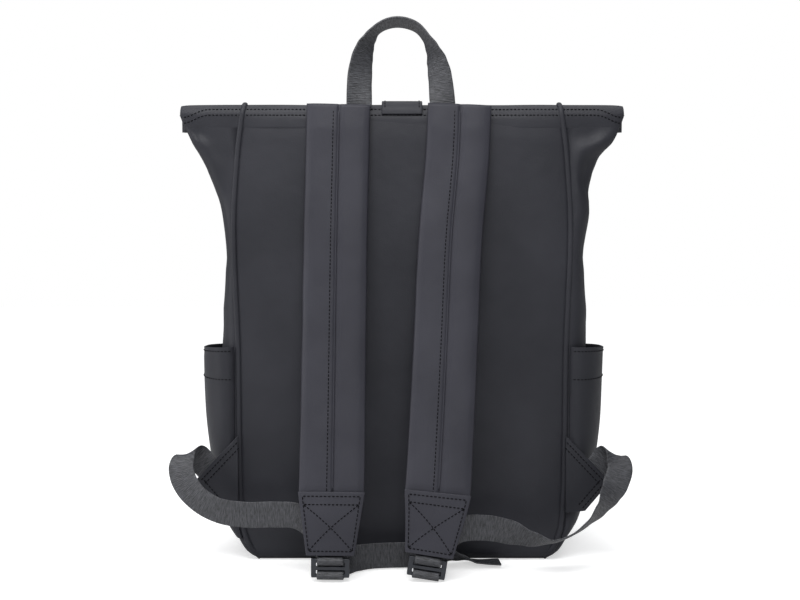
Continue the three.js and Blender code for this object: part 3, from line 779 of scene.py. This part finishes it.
SKIRT_FOOT = BODY_TOP - 13          # hem of the fold on the back
SKIRT = 0.6
FOLD_BASE = BODY_TOP - 0.4
FOLD_CORE = 0.06                    # the inner skin of the fold, as a share of its outer one


def make_fold():
    """Both walls turned over the top, with the cut ends of the roll showing at the corners."""
    columns = 111
    steps = 16
    rows, inner = [], []
    for z in levels(SKIRT_FOOT, BODY_TOP - 1.8, 2.5):
        reach = profile(CREASE_X, z) - 0.6
        xs = np.linspace(-reach, reach, columns)
        stand = lerp(-0.05, SKIRT, min(1, (z - SKIRT_FOOT) / 9))
        rows.append([(x, wall_y(x, z) - stand, z) for x in xs])
        inner.append([(x, wall_y(x, z) + 0.4, z) for x in xs])
    for k in range(steps + 1):
        turn = math.pi * k / steps
        row = []
        for j in range(columns):
            x = lerp(-MOUTH_HALF + 1, MOUTH_HALF - 1, j / (columns - 1))
            edge = (MOUTH_HALF - abs(x)) / 10
            radius = FOLD_RADIUS * (1 - 0.12 * math.exp(-edge * 2)) + SKIRT * max(0, 1 - k / 5)
            radius += 0.5 * noise.noise(Vector((x * 0.02, 0, 7.3)))
            row.append((x, FOLD_Y - radius * math.cos(turn), FOLD_BASE + radius * math.sin(turn) * 0.98))
        rows.append(row)
        inner.append([(x, lerp(FOLD_Y, y, FOLD_CORE), lerp(FOLD_BASE, z, FOLD_CORE)) for x, y, z in row])
    obj = sheet_between("fold_leather", rows, inner)
    bevel(obj, 1.6, 3, 50)
    finish_piece(obj, PANEL, None, ["top_fold"])
    turn_over(obj)


make_fold()
BAND_Y = (low("mouth_band")[1] + high("mouth_band")[1]) / 2


def make_band():
    outer, inner = [], []
    for z in levels(BAND_LOW, BODY_TOP - 0.1, 2.5):
        edge = min((z - BAND_LOW) / 3, 1)
        half_depth = MOUTH_DEPTH / 2 - 0.5 * (1 - edge)
        for rows, inset in ((outer, 0), (inner, WALL)):
            row = []
            for sign in (1, -1):
                for k in range(41):
                    share = k / 40
                    if share < 0.38 or share > 0.62:
                        reach = share / 0.38 if share < 0.5 else (1 - share) / 0.38
                        x = (MOUTH_HALF - 6) * reach
                        d = -1 if share < 0.5 else 1
                    else:
                        turn = math.pi * ((share - 0.38) / 0.24 - 0.5)
                        x = MOUTH_HALF - 6 + (6 - inset) * math.cos(turn)
                        d = math.sin(turn)
                    wave = 0.35 * noise.noise(Vector((x * 0.03 * sign, z * 0.02, 1.7)))
                    row.append((sign * x, BAND_Y + sign * d * (half_depth - inset) + wave, z))
            rows.append(row)
    obj = sheet_between("band_leather", outer, inner, ring=True)
    return finish_piece(obj, PANEL, "rolltop", ["mouth_band"])


make_band()


# ---- side pockets ----
POCKET_WALL = 1.8
POCKET_SPREAD = 66
POCKET_BACK_SPREAD = 84             # on the wearer's side it runs on to the back seam
LIP_TILT = 9                        # how much lower the lip is on the side away from the wearer
POCKET_TRIM = {"left": -2, "right": -3}
HEM = 32                            # from the pocket's lip to its hem stitches


def pocket_point(sign, z, share, lift):
    angle = share * (POCKET_SPREAD if share > 0 else POCKET_BACK_SPREAD)
    near_lip = max(0, 1 - (POCKET_TOP - z) / 24)
    z -= LIP_TILT * near_lip * (1 + math.sin(math.radians(angle))) / 2
    here, out = with_outward(z, angle, 1)
    ease = 0.6 + profile(POCKET_EASE, z) * math.cos(share * math.pi / 2) ** 0.6
    side = "left" if sign < 0 else "right"
    ease += (profile(FULLER[side], z) + POCKET_TRIM[side]) * max(math.cos(math.radians(angle)), 0)
    middle = math.cos(share * math.pi / 2)
    sag = 1.3 * math.sin(math.pi * (z - POCKET_FOOT) / (POCKET_TOP - POCKET_FOOT)) * middle
    ripple = 0.9 * noise.noise(Vector((share * 1.7, sign * 4.0, z * 0.018)))
    lip = 0.9 * math.exp(-((POCKET_TOP - z) / 4) ** 2)
    here = here + out * (ease + sag + ripple * middle + lift + lip)
    return np.array([sign * here[0], here[1], z]), np.array([sign * out[0], out[1], 0])


for side, sign in SIDES:
    shares = np.linspace(-1, 1, 41)
    outer_rows, inner_rows = [], []
    for z in levels(POCKET_FOOT, POCKET_TOP, 4):
        outer_rows.append([pocket_point(sign, z, s, POCKET_WALL)[0] for s in shares])
        inner_rows.append([pocket_point(sign, z, s, 0)[0] for s in shares])
    pocket = sheet_between(f"pocket_leather_{side}", outer_rows, inner_rows)
    bevel(pocket, 0.7)
    finish_piece(pocket, PANEL, "root", [f"side_pocket_{side}"])
    hem_rows = []
    for z in (POCKET_TOP - HEM, POCKET_TOP - 4):
        hem_rows.append([pocket_point(sign, z, s, POCKET_WALL) for s in np.linspace(-0.97, 0.97, 60)])
    stitches(f"pocket_stitches_{side}", hem_rows, "root")


# ---- wedge tabs ----
WEDGE = [(161.5, 126), (205.5, 80), (181, 51), (161.5, 49)]
WEDGE_BACK = low("wedge_tab_left")[1]
WEDGE_THICK = 3


def plate(name, outline, y_low, y_high, sign):
    """A flat leather plate in the XZ plane, with soft edges."""
    bm = bmesh.new()
    corners = [bm.verts.new((sign * x * MM, y_low * MM, z * MM)) for x, z in outline]
    face = bm.faces.new(corners)
    made = bmesh.ops.extrude_face_region(bm, geom=[face])
    moved = [v for v in made["geom"] if isinstance(v, bmesh.types.BMVert)]
    bmesh.ops.translate(bm, verts=moved, vec=(0, (y_high - y_low) * MM, 0))
    bmesh.ops.recalc_face_normals(bm, faces=bm.faces)
    return bevel(from_bmesh(name, bm), 0.9)


def inside_line(a, b, offset):
    """The line from a to b moved sideways by offset, to its left."""
    dx, dz = b[0] - a[0], b[1] - a[1]
    size = math.hypot(dx, dz)
    nx, nz = -dz / size, dx / size
    return (a[0] + nx * offset, a[1] + nz * offset), (b[0] + nx * offset, b[1] + nz * offset)


def wedge_row(a, b, shares, sign):
    return [((sign * lerp(a[0], b[0], t), WEDGE_BACK, lerp(a[1], b[1], t)), (0, -1, 0)) for t in shares]


for side, sign in SIDES:
    wedge = plate(f"wedge_leather_{side}", WEDGE, WEDGE_BACK, WEDGE_BACK + WEDGE_THICK, sign)
    finish_piece(wedge, PANEL, "root", [f"wedge_tab_{side}"])
    rows = []
    for offset in (4, 9):
        a, b = inside_line(WEDGE[0], WEDGE[1], -offset)
        a = (a[0] + offset * 0.4, a[1] - offset * 0.4)
        rows.append(wedge_row(a, b, np.linspace(0.04, 0.9, 12), sign))
        rows.append(wedge_row(*inside_line(WEDGE[1], WEDGE[2], -offset), np.linspace(0.12, 1.0, 8), sign))
    stitches(f"wedge_stitches_{side}", rows, "root")


# ---- shoulder straps ----
STRAP_ROUTES = {
    "left": [(-62, -56, STRAP_TOP), (-63, -59, 400), (-64.5, -69, 320), (-65.5, -84, 220), (-66, -105, 130),
             (-66.5, -119, PATCH_TOP), (-67, -131, STRAP_FOOT)],
    "right": [(56, -56, STRAP_TOP), (54, -59, 400), (47, -69, 320), (42, -84, 220), (37, -105, 130),
              (33, -119, PATCH_TOP), (25, -131, STRAP_FOOT)],
}
SEAM_STEP = 0.9                     # how far one half of a strap's face stands over the other


def strap_thickness(share):
    """Sewn flat at its top, full of foam below it and thinner again towards its foot."""
    full = lerp(9, 5, min(1, max(0, (share - 0.6) / 0.25)))
    return lerp(4, full, min(1, share / 0.05))


def strap_width_at(z):
    if z > PATCH_TOP:
        return STRAP_WIDTH
    return lerp(PATCH_FOOT_WIDTH, STRAP_WIDTH, (z - STRAP_FOOT) / (PATCH_TOP - STRAP_FOOT))


def strap_face(share, across, seed):
    """How far the outer face of a strap stands off its middle; across from -1 to 1."""
    thick = strap_thickness(share)
    edge = 1 - abs(across) ** 5
    pillow = 1.3 * (1 - (2 * abs(abs(across) - 0.5)) ** 2.2) * (1 if share < 0.86 else 0.3)
    x = across * STRAP_WIDTH / 2
    groove = -1.1 * math.exp(-((x + 1.2) / 1.7) ** 2) - 0.5 * math.exp(-((x + 4.6) / 1.4) ** 2)
    step = SEAM_STEP * (0.5 + 0.5 * math.tanh(x / 0.55)) * math.exp(-max(across, 0) * 3.2)
    wave = 0.55 * noise.noise(Vector((across * 1.4, share * 9, seed)))
    return (thick / 2 - 0.9) * edge ** 0.45 + (pillow + groove + step + wave) * min(1, edge * 1.6)


def make_strap(side, seed):
    route = Route([[c, (-1, 0, 0)] for c in STRAP_ROUTES[side]])
    top_reach = 4.5                 # up over the seam, behind the fold
    columns = np.linspace(-1, 1, 63)
    count = 150
    verts, uvs = [], []
    for k in range(count + 1):
        share = k / count
        distance = share * route.length
        centre, tangent, across, normal = route.at(distance)
        width = strap_width_at(centre[2])
        rise = top_reach * max(0, 1 - share * 12)
        lifted = centre - tangent * rise
        section = [(s, strap_face(share, s, seed)) for s in columns]
        thick = strap_thickness(share)
        section += [(s, -(thick / 2 - 0.9) * (1 - abs(s) ** 5) ** 0.45
                     - 0.5 * (1 - s * s)) for s in columns[::-1][1:-1]]
        for s, lift in section:
            squeeze = 1 + 0.006 * noise.noise(Vector((share * 11, seed, 2.0)))
            verts.append(lifted + across * s * width / 2 * squeeze + normal * lift)
            uvs.append((s * width / 2 * MM, distance * MM))
    obj = recalc(new_object(f"strap_leather_{side}", verts, tube_faces(count + 1, len(section)), uvs))
    finish_piece(obj, STRAP, f"strap_{side}", [f"shoulder_strap_{side}"])
    return route


def strap_row(route, seed, side_mm, start, stop, count=160):
    """Points and normals along a strap's outer face, side_mm across from its middle."""
    row = []
    for t in np.linspace(start, stop, count):
        centre, _, across, normal = route.at(t * route.length)
        half = strap_width_at(centre[2]) / 2
        lift = strap_face(t, side_mm / half, seed)
        row.append((centre + across * side_mm + normal * lift, normal))
    return row


PIPING_SIDE = 0.4
routes = {}
for seed, (side, sign) in enumerate(SIDES):
    route = make_strap(side, seed + 1.0)
    routes[side] = route
    share_of_patch = next(t for t in np.linspace(0, 1, 400) if route.at(t * route.length)[0][2] < PATCH_TOP)
    piping = strap_row(route, seed + 1.0, -PIPING_SIDE, 0.005, share_of_patch, 130)
    piping_route = Route([[p + n * 0.15, (-1, 0, 0)] for p, n in piping[::6]])
    bead = [(1.1 * math.cos(a), 0.85 * math.sin(a)) for a in np.linspace(0, 2 * math.pi, 11)[:-1]]
    piece = sweep(f"piping_leather_{side}", piping_route, lambda share: bead, 4)
    finish_piece(piece, STRAP, f"strap_{side}", [f"strap_piping_{side}"])
    stitches(f"strap_stitches_{side}", [strap_row(route, seed + 1.0, 4.6, 0.004, share_of_patch)],
             f"strap_{side}")


# ---- strap end patches, loops and ladder locks ----
LOCK_DROP = 5
PATCH_THICK = 1.4
LOOP_RADIUS = 3.65


def lean(side):
    above, foot = STRAP_ROUTES[side][-2:]
    return math.atan2(above[0] - foot[0], above[2] - foot[2])


def hang_matrix(side):
    """From the ladder lock's own axes to where it hangs under the strap's foot."""
    foot = Vector(STRAP_ROUTES[side][-1]) * MM
    return (Matrix.Translation(foot) @ Matrix.Rotation(lean(side), 4, "Y")
            @ Matrix.Translation((0, 0, -LOCK_DROP * MM)))


def make_patch(side):
    route = routes[side]
    start = route.length - (PATCH_TOP - STRAP_FOOT) * 1.09 - 3
    seat = strap_thickness(1) / 2 + 0.2

    def spot(u, v, lift):
        """Point of the patch, u across it from -1 to 1 and v down it, lift off the strap's middle."""
        centre, _, across, normal = route.at(lerp(start, route.length, v))
        half = lerp(STRAP_WIDTH, PATCH_FOOT_WIDTH, v) / 2 + 0.5
        return centre + across * u * half + normal * lift, normal

    def puff(u, v):
        return 0.5 * math.sin(math.pi * v) * (1 - u * u)

    columns, shares = np.linspace(-1, 1, 25), np.linspace(0, 1, 35)
    outer = [[spot(u, v, seat + PATCH_THICK * (1 - 0.5 * abs(u) ** 8) + puff(u, v))[0] for u in columns]
             for v in shares]
    inner = [[spot(u, v, seat - 0.9)[0] for u in columns] for v in shares]
    patch = sheet_between(f"patch_leather_{side}", outer, inner)
    bevel(patch, 0.45, 3, 45)
    finish_piece(patch, STRAP, f"strap_{side}", [f"strap_end_{side}"])

    def on_patch(u, v):
        return spot(u, v, seat + PATCH_THICK + puff(u, v))

    def line(a, b, count=24):
        return [on_patch(lerp(a[0], b[0], t), lerp(a[1], b[1], t)) for t in np.linspace(0, 1, count)]

    left, right, top, bottom = -0.88, 0.88, 0.07, 0.93
    rows = [line((left, top), (right, top)), line((right, top), (right, bottom)),
            line((right, bottom), (left, bottom)), line((left, bottom), (left, top)),
            line((left, 0.2), (right, 0.2)),
            line((left, 0.2), (right, bottom)), line((right, 0.2), (left, bottom))]
    stitches(f"patch_stitches_{side}", rows, f"strap_{side}")


def make_loop(side):
    """The webbing ring between the strap's foot and the ladder lock."""
    turns = [2 * math.pi * k / 32 for k in range(32)]
    ring = [(LOOP_RADIUS * math.cos(turn), LOOP_RADIUS * math.sin(turn) * 1.05) for turn in turns]
    columns = np.linspace(-WEBBING / 2 + 0.2, WEBBING / 2 - 0.2, 14)
    outer, inner = ([[(x, y * share, z * share) for y, z in ring] for x in columns] for share in (1.19, 0.81))
    obj = sheet_between(f"loop_webbing_{side}", outer, inner, ring=True)
    map_uv(obj, lambda p: (p.x, LOOP_RADIUS * MM * math.atan2(p.z, p.y)))
    obj.data.transform(hang_matrix(side))
    finish_piece(obj, WEB, f"strap_{side}", [f"strap_loop_{side}"])


LOCK_HALF = 18
LOCK_TOP = 2.5
LOCK_FOOT = -15.5
LOCK_SLOTS = [(-5.2, -1.5), (-12.5, -8.5)]
RAIL = 4.5
LOCK_THICK = 4
LOCK_FOOT_SHARE = 0.985             # the foot's corners stand in a little


def make_lock(side):
    """Moulded ladder lock: two rails, three bars and rounded edges."""
    bm = bmesh.new()
    xs = [-LOCK_HALF, -LOCK_HALF + RAIL, LOCK_HALF - RAIL, LOCK_HALF]
    zs = [LOCK_FOOT, *LOCK_SLOTS[1], *LOCK_SLOTS[0], LOCK_TOP]
    grid = {}
    ys = [-LOCK_THICK / 2, LOCK_THICK / 2]
    for (yi, y), (i, x), (j, z) in product(enumerate(ys), enumerate(xs), enumerate(zs)):
        pulled_in = LOCK_FOOT_SHARE if j == 0 and i in (0, 3) else 1
        grid[yi, i, j] = bm.verts.new((x * pulled_in, y, z))

    def wall(i0, j0, i1, j1):
        bm.faces.new([grid[0, i0, j0], grid[0, i1, j1], grid[1, i1, j1], grid[1, i0, j0]])

    for i, j in product(range(3), range(5)):
        if i == 1 and j in (1, 3):
            continue                # a slot
        for yi in (0, 1):
            bm.faces.new([grid[yi, i, j], grid[yi, i + 1, j], grid[yi, i + 1, j + 1], grid[yi, i, j + 1]])
    for i in range(3):
        for j in range(6) if i == 1 else (0, 5):
            wall(i, j, i + 1, j)
    for j in range(5):
        for i in range(4) if j in (1, 3) else (0, 3):
            wall(i, j, i, j + 1)
    bmesh.ops.recalc_face_normals(bm, faces=bm.faces)
    for v in bm.verts:
        v.co = hang_matrix(side) @ (Vector(v.co) * MM)
    obj = bevel(from_bmesh(f"lock_plastic_{side}", bm), 0.75, 4, 30)
    finish_piece(obj, PLASTIC, f"lock_{side}", [f"ladder_lock_{side}"])


for side, sign in SIDES:
    make_patch(side)
    make_loop(side)
    make_lock(side)


# ---- lower webbings ----
def through_lock(side, across):
    x, y, z = STRAP_ROUTES[side][-1]
    turn = lean(side)
    width = (across * math.cos(turn), 0, -across * math.sin(turn))
    path = [(-5.5, -9), (-3.6, -14.2), (0, -15.2), (3.4, -16.8), (3.6, -20), (0, -22.2), (-6, -22.6)]
    return [[(x + up * math.sin(turn), y - out, z + up * math.cos(turn)), width] for out, up in path]


LOWER_ROUTES = {
    "left": [
        [(-189, -64, 90), (-0.67, 0, -0.74)],
        [(-195, -64, 97), (-0.67, 0, -0.74)],
        [(-201, -67, 106), (-0.72, -0.1, -0.68)],
        [(-209, -76, 110), (-0.9, 0.1, -0.4)],
        [(-214, -84, 101), (-0.98, 0.1, -0.15)],
        [(-212, -89, 91), (-0.98, 0.1, -0.15)],
        [(-206, -94, 81), (-0.85, 0.1, -0.45)],
        [(-194, -99, 70), (-0.5, 0.1, -0.82)],
        [(-175, -104, 61), (-0.1, 0.1, -0.98)],
        [(-149, -108, 58), (0, 0, -1)],
        [(-121, -111, 59), (0, 0, -1)],
        [(-100, -113, 58), (-0.05, 0, -1)],
        [(-85, -115.5, 50), (-0.35, 0, -0.94)],
        [(-73, -120.5, 36), (-0.85, 0, -0.5)],
        *through_lock("left", -1),
        [(-63, -112, 6.6), (-0.93, 0.2, 0.3)],
        [(-50, -100, 12), (-0.5, 0.3, 0.8)],
        [(-30, -93, 13.6), (0, 0, 1)],
        [(10, -88, 13.6), (0, 0, 1)],
        [(35, -84, 13.2), (0, -0.35, 0.93)],
        [(55, -80, 8.5), (0, -0.85, 0.5)],
        [(72, -77, 4), (0, -1, 0.15)],
        [(96, -76, 3), (0, -1, 0.05)],
    ],
    "right": [
        [(189, -64, 90), (0.67, 0, -0.74)],
        [(195, -64, 97), (0.67, 0, -0.74)],
        [(201, -67, 106), (0.72, -0.1, -0.68)],
        [(208, -76, 109), (0.9, 0.1, -0.4)],
        [(211.5, -84, 98), (0.98, 0.1, -0.1)],
        [(206.5, -90, 85), (1, 0.1, 0)],
        [(200, -95, 74), (0.85, 0.45, -0.2)],
        [(191, -99, 61), (0.5, 0.75, -0.4)],
        [(178, -102, 48), (0.2, 0.9, -0.35)],
        [(162, -104, 37), (0.1, 0.93, -0.3)],
        [(144, -105, 31), (0.05, 0.92, -0.35)],
        [(122, -106, 34), (0, 0.65, -0.75)],
        [(99, -108, 42), (0, 0.15, -1)],
        [(77, -110, 46), (0, 0, -1)],
        [(54, -114, 45), (0.15, 0, -0.98)],
        [(36, -119.5, 34), (0.75, 0, -0.65)],
        *through_lock("right", 1),
        [(27, -112, 1.8), (1, 0, 0)],
        [(29, -98, 1.4), (1, 0, 0)],
    ],
}
WEBBING_THICK = 1.4

for side, sign in SIDES:
    route = Route(LOWER_ROUTES[side], 900)
    loop = flat_loop(WEBBING, WEBBING_THICK)
    lower = sweep(f"lower_web_{side}", route, lambda share: loop, 2.2)
    finish_piece(lower, WEB, None, [f"lower_webbing_{side}"])
    x, y, z = STRAP_ROUTES[side][-1]
    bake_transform(lower)


# ---- grab handle ----
HANDLE_Y = (low("grab_handle")[1] + high("grab_handle")[1]) / 2
HANDLE_FOOT = 448
HANDLE_RISE = 82.5
# [x, height over the feet, width direction]: it turns edge on to the wearer on its way up, and the
# far edge of its crown lies a little lower.
HANDLE_ROUTE = [
    (-42, 0, (1, 0, 0)),
    (-41.5, 27, (0.96, 0.28, 0)),
    (-39.2, 46, (0.82, 0.57, 0)),
    (-35.8, 58, (0.66, 0.75, 0)),
    (-31.2, 67, (0.42, 0.91, -0.05)),
    (-25, 75, (0.15, 0.98, -0.15)),
    (-15.5, 80.5, (0, 0.97, -0.23)),
    (-5, HANDLE_RISE, (0, 0.97, -0.23)),
    (6, 81, (0, 0.97, -0.23)),
    (15.5, 76.5, (-0.05, 0.97, -0.2)),
    (23, 68, (-0.15, 0.98, -0.12)),
    (29.5, 56.5, (-0.46, 0.89, 0)),
    (34, 44, (-0.75, 0.66, 0)),
    (37, 30, (-0.9, 0.43, 0)),
    (40, 0, (-1, 0, 0)),
]
handle_stations = [[(x, HANDLE_Y, HANDLE_FOOT + rise), across] for x, rise, across in HANDLE_ROUTE]
handle_loop = flat_loop(WEBBING, 2.0)
handle = sweep("handle_web", Route(handle_stations), lambda share: handle_loop, 2.2)
finish_piece(handle, WEB, "handle", ["grab_handle"])


# ---- closing strap and its snap ----
CLOSING_WIDTH = 40
CLOSING_THICK = 2.2
CLOSING_STAND = 4
CLOSING_TIP = 382
SNAP_Z = 393
CLOSING_RADIUS = FOLD_RADIUS + 0.6 + CLOSING_THICK / 2
ROUNDED_TIP = 9


def front_frame(z):
    """Outward and uphill directions of the front panel at height z."""
    slope = (front_y(z + 1) - front_y(z - 1)) / 2
    out = np.array([0, 1, -slope])
    out /= np.linalg.norm(out)
    return out, np.array([0, -out[2], out[1]])


def off_front(z, stand, x=0.0):
    return np.array([x, front_y(z), z]) + front_frame(z)[0] * stand


closing_stations = []
for k in range(9):
    turn = math.pi * (1 - k / 8)
    closing_stations.append([(0, FOLD_Y + CLOSING_RADIUS * math.cos(turn),
                              BODY_TOP + 0.3 + CLOSING_RADIUS * math.sin(turn)), (1, 0, 0)])
closing_stations += [[(0, FOLD_Y + CLOSING_RADIUS, BODY_TOP - 8), (1, 0, 0)],
                     [(0, FOLD_Y + CLOSING_RADIUS, BAND_LOW - 1), (1, 0, 0)],
                     [(0, FOLD_Y + CLOSING_RADIUS + 2, BAND_LOW - 11), (1, 0, 0)]]
closing_stations += [[off_front(z, CLOSING_STAND), (1, 0, 0)] for z in (400, SNAP_Z, CLOSING_TIP)]
closing_route = Route(closing_stations)


def closing_section(share):
    """Tongue with a rounded tip: the last stretch narrows along a quarter circle at each corner."""
    left_over = (1 - share) * closing_route.length
    pull_in = 0
    if left_over < ROUNDED_TIP:
        pull_in = ROUNDED_TIP - math.sqrt(max(ROUNDED_TIP ** 2 - (ROUNDED_TIP - left_over) ** 2, 0))
    return flat_loop(CLOSING_WIDTH - 2 * pull_in, CLOSING_THICK, 16, 0.8)


closing = sweep("closing_leather", closing_route, closing_section, 1.2)
finish_piece(closing, PANEL, "closing_strap", ["closing_strap"])


def closing_point(distance, side):
    return closing_route.on(distance, side, CLOSING_THICK / 2), closing_route.at(distance)[3]


row_side = CLOSING_WIDTH / 2 - 3.2
tip_half = CLOSING_WIDTH / 2 - 8
closing_rows = [[closing_point(d, side) for d in np.linspace(6, closing_route.length - 8, 50)]
                for side in (-row_side, row_side)]
closing_rows.append([closing_point(closing_route.length - 4.2, side)
                     for side in np.linspace(-tip_half, tip_half, 14)])
stitches("closing_stitches", closing_rows, "closing_strap")


def lathe(name, outline, segments=40):
    """Solid of revolution about +Z from [radius, height] points that start and end on the axis or close."""
    verts, faces = [], []
    count = len(outline)
    for k in range(segments):
        turn = 2 * math.pi * k / segments
        verts += [(r * math.cos(turn), r * math.sin(turn), h) for r, h in outline]
    closed = outline[0][0] > 0
    for k in range(segments):
        after = (k + 1) % segments
        for j in range(count if closed else count - 1):
            following = (j + 1) % count
            faces.append((k * count + j, after * count + j, after * count + following, k * count + following))
    return recalc(new_object(name, verts, faces), weld=True)


def on_front(obj, z, x=0.0):
    out, up = front_frame(z)
    across = np.cross(up, out)
    turn = Matrix((across, up, out)).transposed().to_4x4()
    obj.data.transform(Matrix.Translation(Vector((x, front_y(z), z)) * MM) @ turn)
    return obj


CAP_FOOT = CLOSING_STAND + CLOSING_THICK / 2 + 0.3


def dome(radius, foot, rise, rings=7):
    return [(radius * math.cos(math.pi / 2 * k / rings), foot + rise * math.sin(math.pi / 2 * k / rings))
            for k in range(rings + 1)]


cap = lathe("snap_cap_metal",
            [(0, CAP_FOOT), (6.9, CAP_FOOT), (7.0, CAP_FOOT + 0.3)] + dome(6.6, CAP_FOOT + 0.5, 1.3))
finish_piece(on_front(cap, SNAP_Z), METAL, "closing_strap", ["snap_cap"])
socket = lathe("snap_socket_metal",
               [(2.8, 1.35), (5.7, 1.3), (6.0, 1.6), (6.0, 2.2), (5.7, 2.5), (3.4, 2.5), (2.8, 2.2)])
finish_piece(on_front(socket, SNAP_Z), METAL, "closing_strap", ["snap_socket"])
stud = lathe("snap_stud_metal",
             [(0, 0.3), (5.8, 0.3), (6.0, 0.5), (5.7, 0.9), (2.3, 1.0), (2.1, 1.4), (2.4, 1.8), (2.1, 2.2),
              (0, 2.3)])
finish_piece(on_front(stud, SNAP_Z), METAL, "root", ["snap_stud"])


# ---- flat front pocket and its zip ----
POCKET_HALF = high("front_pocket")[0]
FLAT_LOW, FLAT_HIGH = low("front_pocket")[2], high("front_pocket")[2]
FLAT_POCKET = 2.4                   # how far the front pocket stands off the front panel
FLAT_SLACK = 0.8
ZIP_HALF = high("zip_teeth")[0]
ZIP_Z = (low("zip_teeth")[2] + high("zip_teeth")[2]) / 2
TEETH_HALF = 2.5
FLAT_CORNER = 14


def flat_half(z):
    """Half width of the front pocket, with its lower corners rounded."""
    rise = z - FLAT_LOW
    if rise >= FLAT_CORNER:
        return POCKET_HALF
    return POCKET_HALF - FLAT_CORNER + math.sqrt(FLAT_CORNER ** 2 - (FLAT_CORNER - rise) ** 2)


def flat_face(x, z):
    half = flat_half(z)
    share = max(0, min(1, (half - abs(x)) / 18)) * min(1, (z - FLAT_LOW) / 16 + 0.1)
    wave = 0.4 * noise.noise(Vector((x * 0.02, 9, z * 0.02))) * share
    return front_y(z) + FLAT_POCKET + FLAT_SLACK + share ** 0.6 + wave


outer_rows, inner_rows = [], []
for z in levels(FLAT_LOW, FLAT_HIGH, 3):
    xs = np.linspace(-flat_half(z), flat_half(z), 61)
    outer_rows.append([(x, flat_face(x, z), z) for x in xs])
    inner_rows.append([(x, front_y(z) + 0.3, z) for x in xs])
flat = sheet_between("front_pocket_leather", outer_rows, inner_rows)
bevel(flat, 0.8)
finish_piece(flat, PANEL, "root", ["front_pocket"])
edge_in = 5
border = [(POCKET_HALF - edge_in, z) for z in levels(FLAT_HIGH - edge_in, FLAT_LOW + FLAT_CORNER, 5)]
turn_radius = FLAT_CORNER - edge_in
corner = [(POCKET_HALF - FLAT_CORNER + turn_radius * math.cos(a),
           FLAT_LOW + FLAT_CORNER - turn_radius * math.sin(a)) for a in np.linspace(0, math.pi / 2, 7)]
right_half = border + corner
path = right_half + [(x, FLAT_LOW + edge_in) for x in np.linspace(POCKET_HALF - FLAT_CORNER - 4,
                                                                   -POCKET_HALF + FLAT_CORNER + 4, 30)]
path += [(-x, z) for x, z in reversed(right_half)]
pocket_rows = [[((x, flat_face(x, z), z), (0, 1, 0)) for x, z in path],
               [((x, flat_face(x, FLAT_HIGH - edge_in), FLAT_HIGH - edge_in), (0, 1, 0))
                for x in np.linspace(-POCKET_HALF + edge_in, POCKET_HALF - edge_in, 60)]]
stitches("front_pocket_stitches", pocket_rows, "root")


def zip_tape(name, z_low, z_high, replaced):
    xs = np.linspace(-ZIP_HALF - 4, ZIP_HALF + 4, 50)
    zs = levels(z_low, z_high, 2)
    outer = [[(x, front_y(z) + 1.5, z) for x in xs] for z in zs]
    inner = [[(x, front_y(z) + 0.5, z) for x in xs] for z in zs]
    obj = sheet_between(name, outer, inner)
    map_uv(obj, lambda p: (p.z, p.x))
    finish_piece(obj, WEB, "root", [replaced])


zip_tape("zip_tape_lower_web", FLAT_HIGH + 0.5, ZIP_Z - 1.4, "zip_tape_lower")
zip_tape("zip_tape_upper_web", ZIP_Z + 1.4, ZIP_Z + 11, "zip_tape_upper")
stitches("zip_stitches", [level_row(front_y(ZIP_Z + 8) + 1.5, ZIP_Z + 8, ZIP_HALF + 3, 60)], "root")

TEETH_Y = front_y(ZIP_Z) + 0.9


def make_teeth(pitch=2.0):
    """Moulded teeth, taken from the two tapes in turn."""
    bm = bmesh.new()
    count = int(2 * ZIP_HALF / pitch)
    for k in range(count):
        x = -ZIP_HALF + (k + 0.5) * pitch
        for sign in (-1, 1):
            shift = pitch / 4 * sign
            made = bmesh.ops.create_cube(bm, size=1)
            for v in made["verts"]:
                wide = 0.62 if v.co.z * sign > 0 else 0.9
                v.co = Vector(((x + shift + v.co.x * pitch * 0.5 * wide) * MM,
                               (TEETH_Y + 1.3 + v.co.y * 2.2) * MM,
                               (ZIP_Z + sign * TEETH_HALF * 0.36 + v.co.z * TEETH_HALF * 1.2) * MM))
    obj = bevel(from_bmesh("zip_teeth_metal", bm, smooth=False), 0.22, 1, 30)
    finish_piece(obj, METAL, "root", ["zip_teeth"])


make_teeth()


def dress(node_name, mat):
    """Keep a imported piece's own shape and give it a material."""
    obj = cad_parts[node_name]
    obj.data.materials.clear()
    obj.data.materials.append(mat)
    return obj


for node_name in ("zip_slider", "zip_pull"):
    bevel(dress(node_name, METAL), 0.35, 3, 30)


# ---- what is inside ----
for node_name, mat in (("base_board", BOARD), ("band_stiffener_back", BOARD), ("band_stiffener_front", BOARD),
                       ("back_foam", FOAM), ("laptop_sleeve", LINING)):
    dress(node_name, mat)


# ---- stitch rows of the body ----
TOP_ROWS = (BODY_TOP + 5.2, BODY_TOP - 0.4)
CORNER_DROP = 8                     # how far the rows dip at the two corners


def top_row(height):
    row = []
    for x in np.linspace(-MOUTH_HALF + 4, MOUTH_HALF - 4, 150):
        bend = min(max((abs(x) - 190) / 26, 0), 1)
        z = height - CORNER_DROP * bend * bend * (3 - 2 * bend)
        if z > FOLD_BASE:
            turn = math.asin(min((z - FOLD_BASE) / FOLD_RADIUS, 1))
            y = FOLD_Y - (FOLD_RADIUS + 0.3) * math.cos(turn)
            row.append(((x, y, z), (0, -math.cos(turn), math.sin(turn))))
        else:
            row.append(((x, wall_y(x, z) - SKIRT, z), (0, -1, 0)))
    return row


stitches("top_stitches", [top_row(height) for height in TOP_ROWS], "root")

band_rows = [level_row(high("mouth_band")[1], BAND_LOW + up, MOUTH_HALF - 8, 120) for up in (4, 9)]
stitches("band_stitches", band_rows, "rolltop")
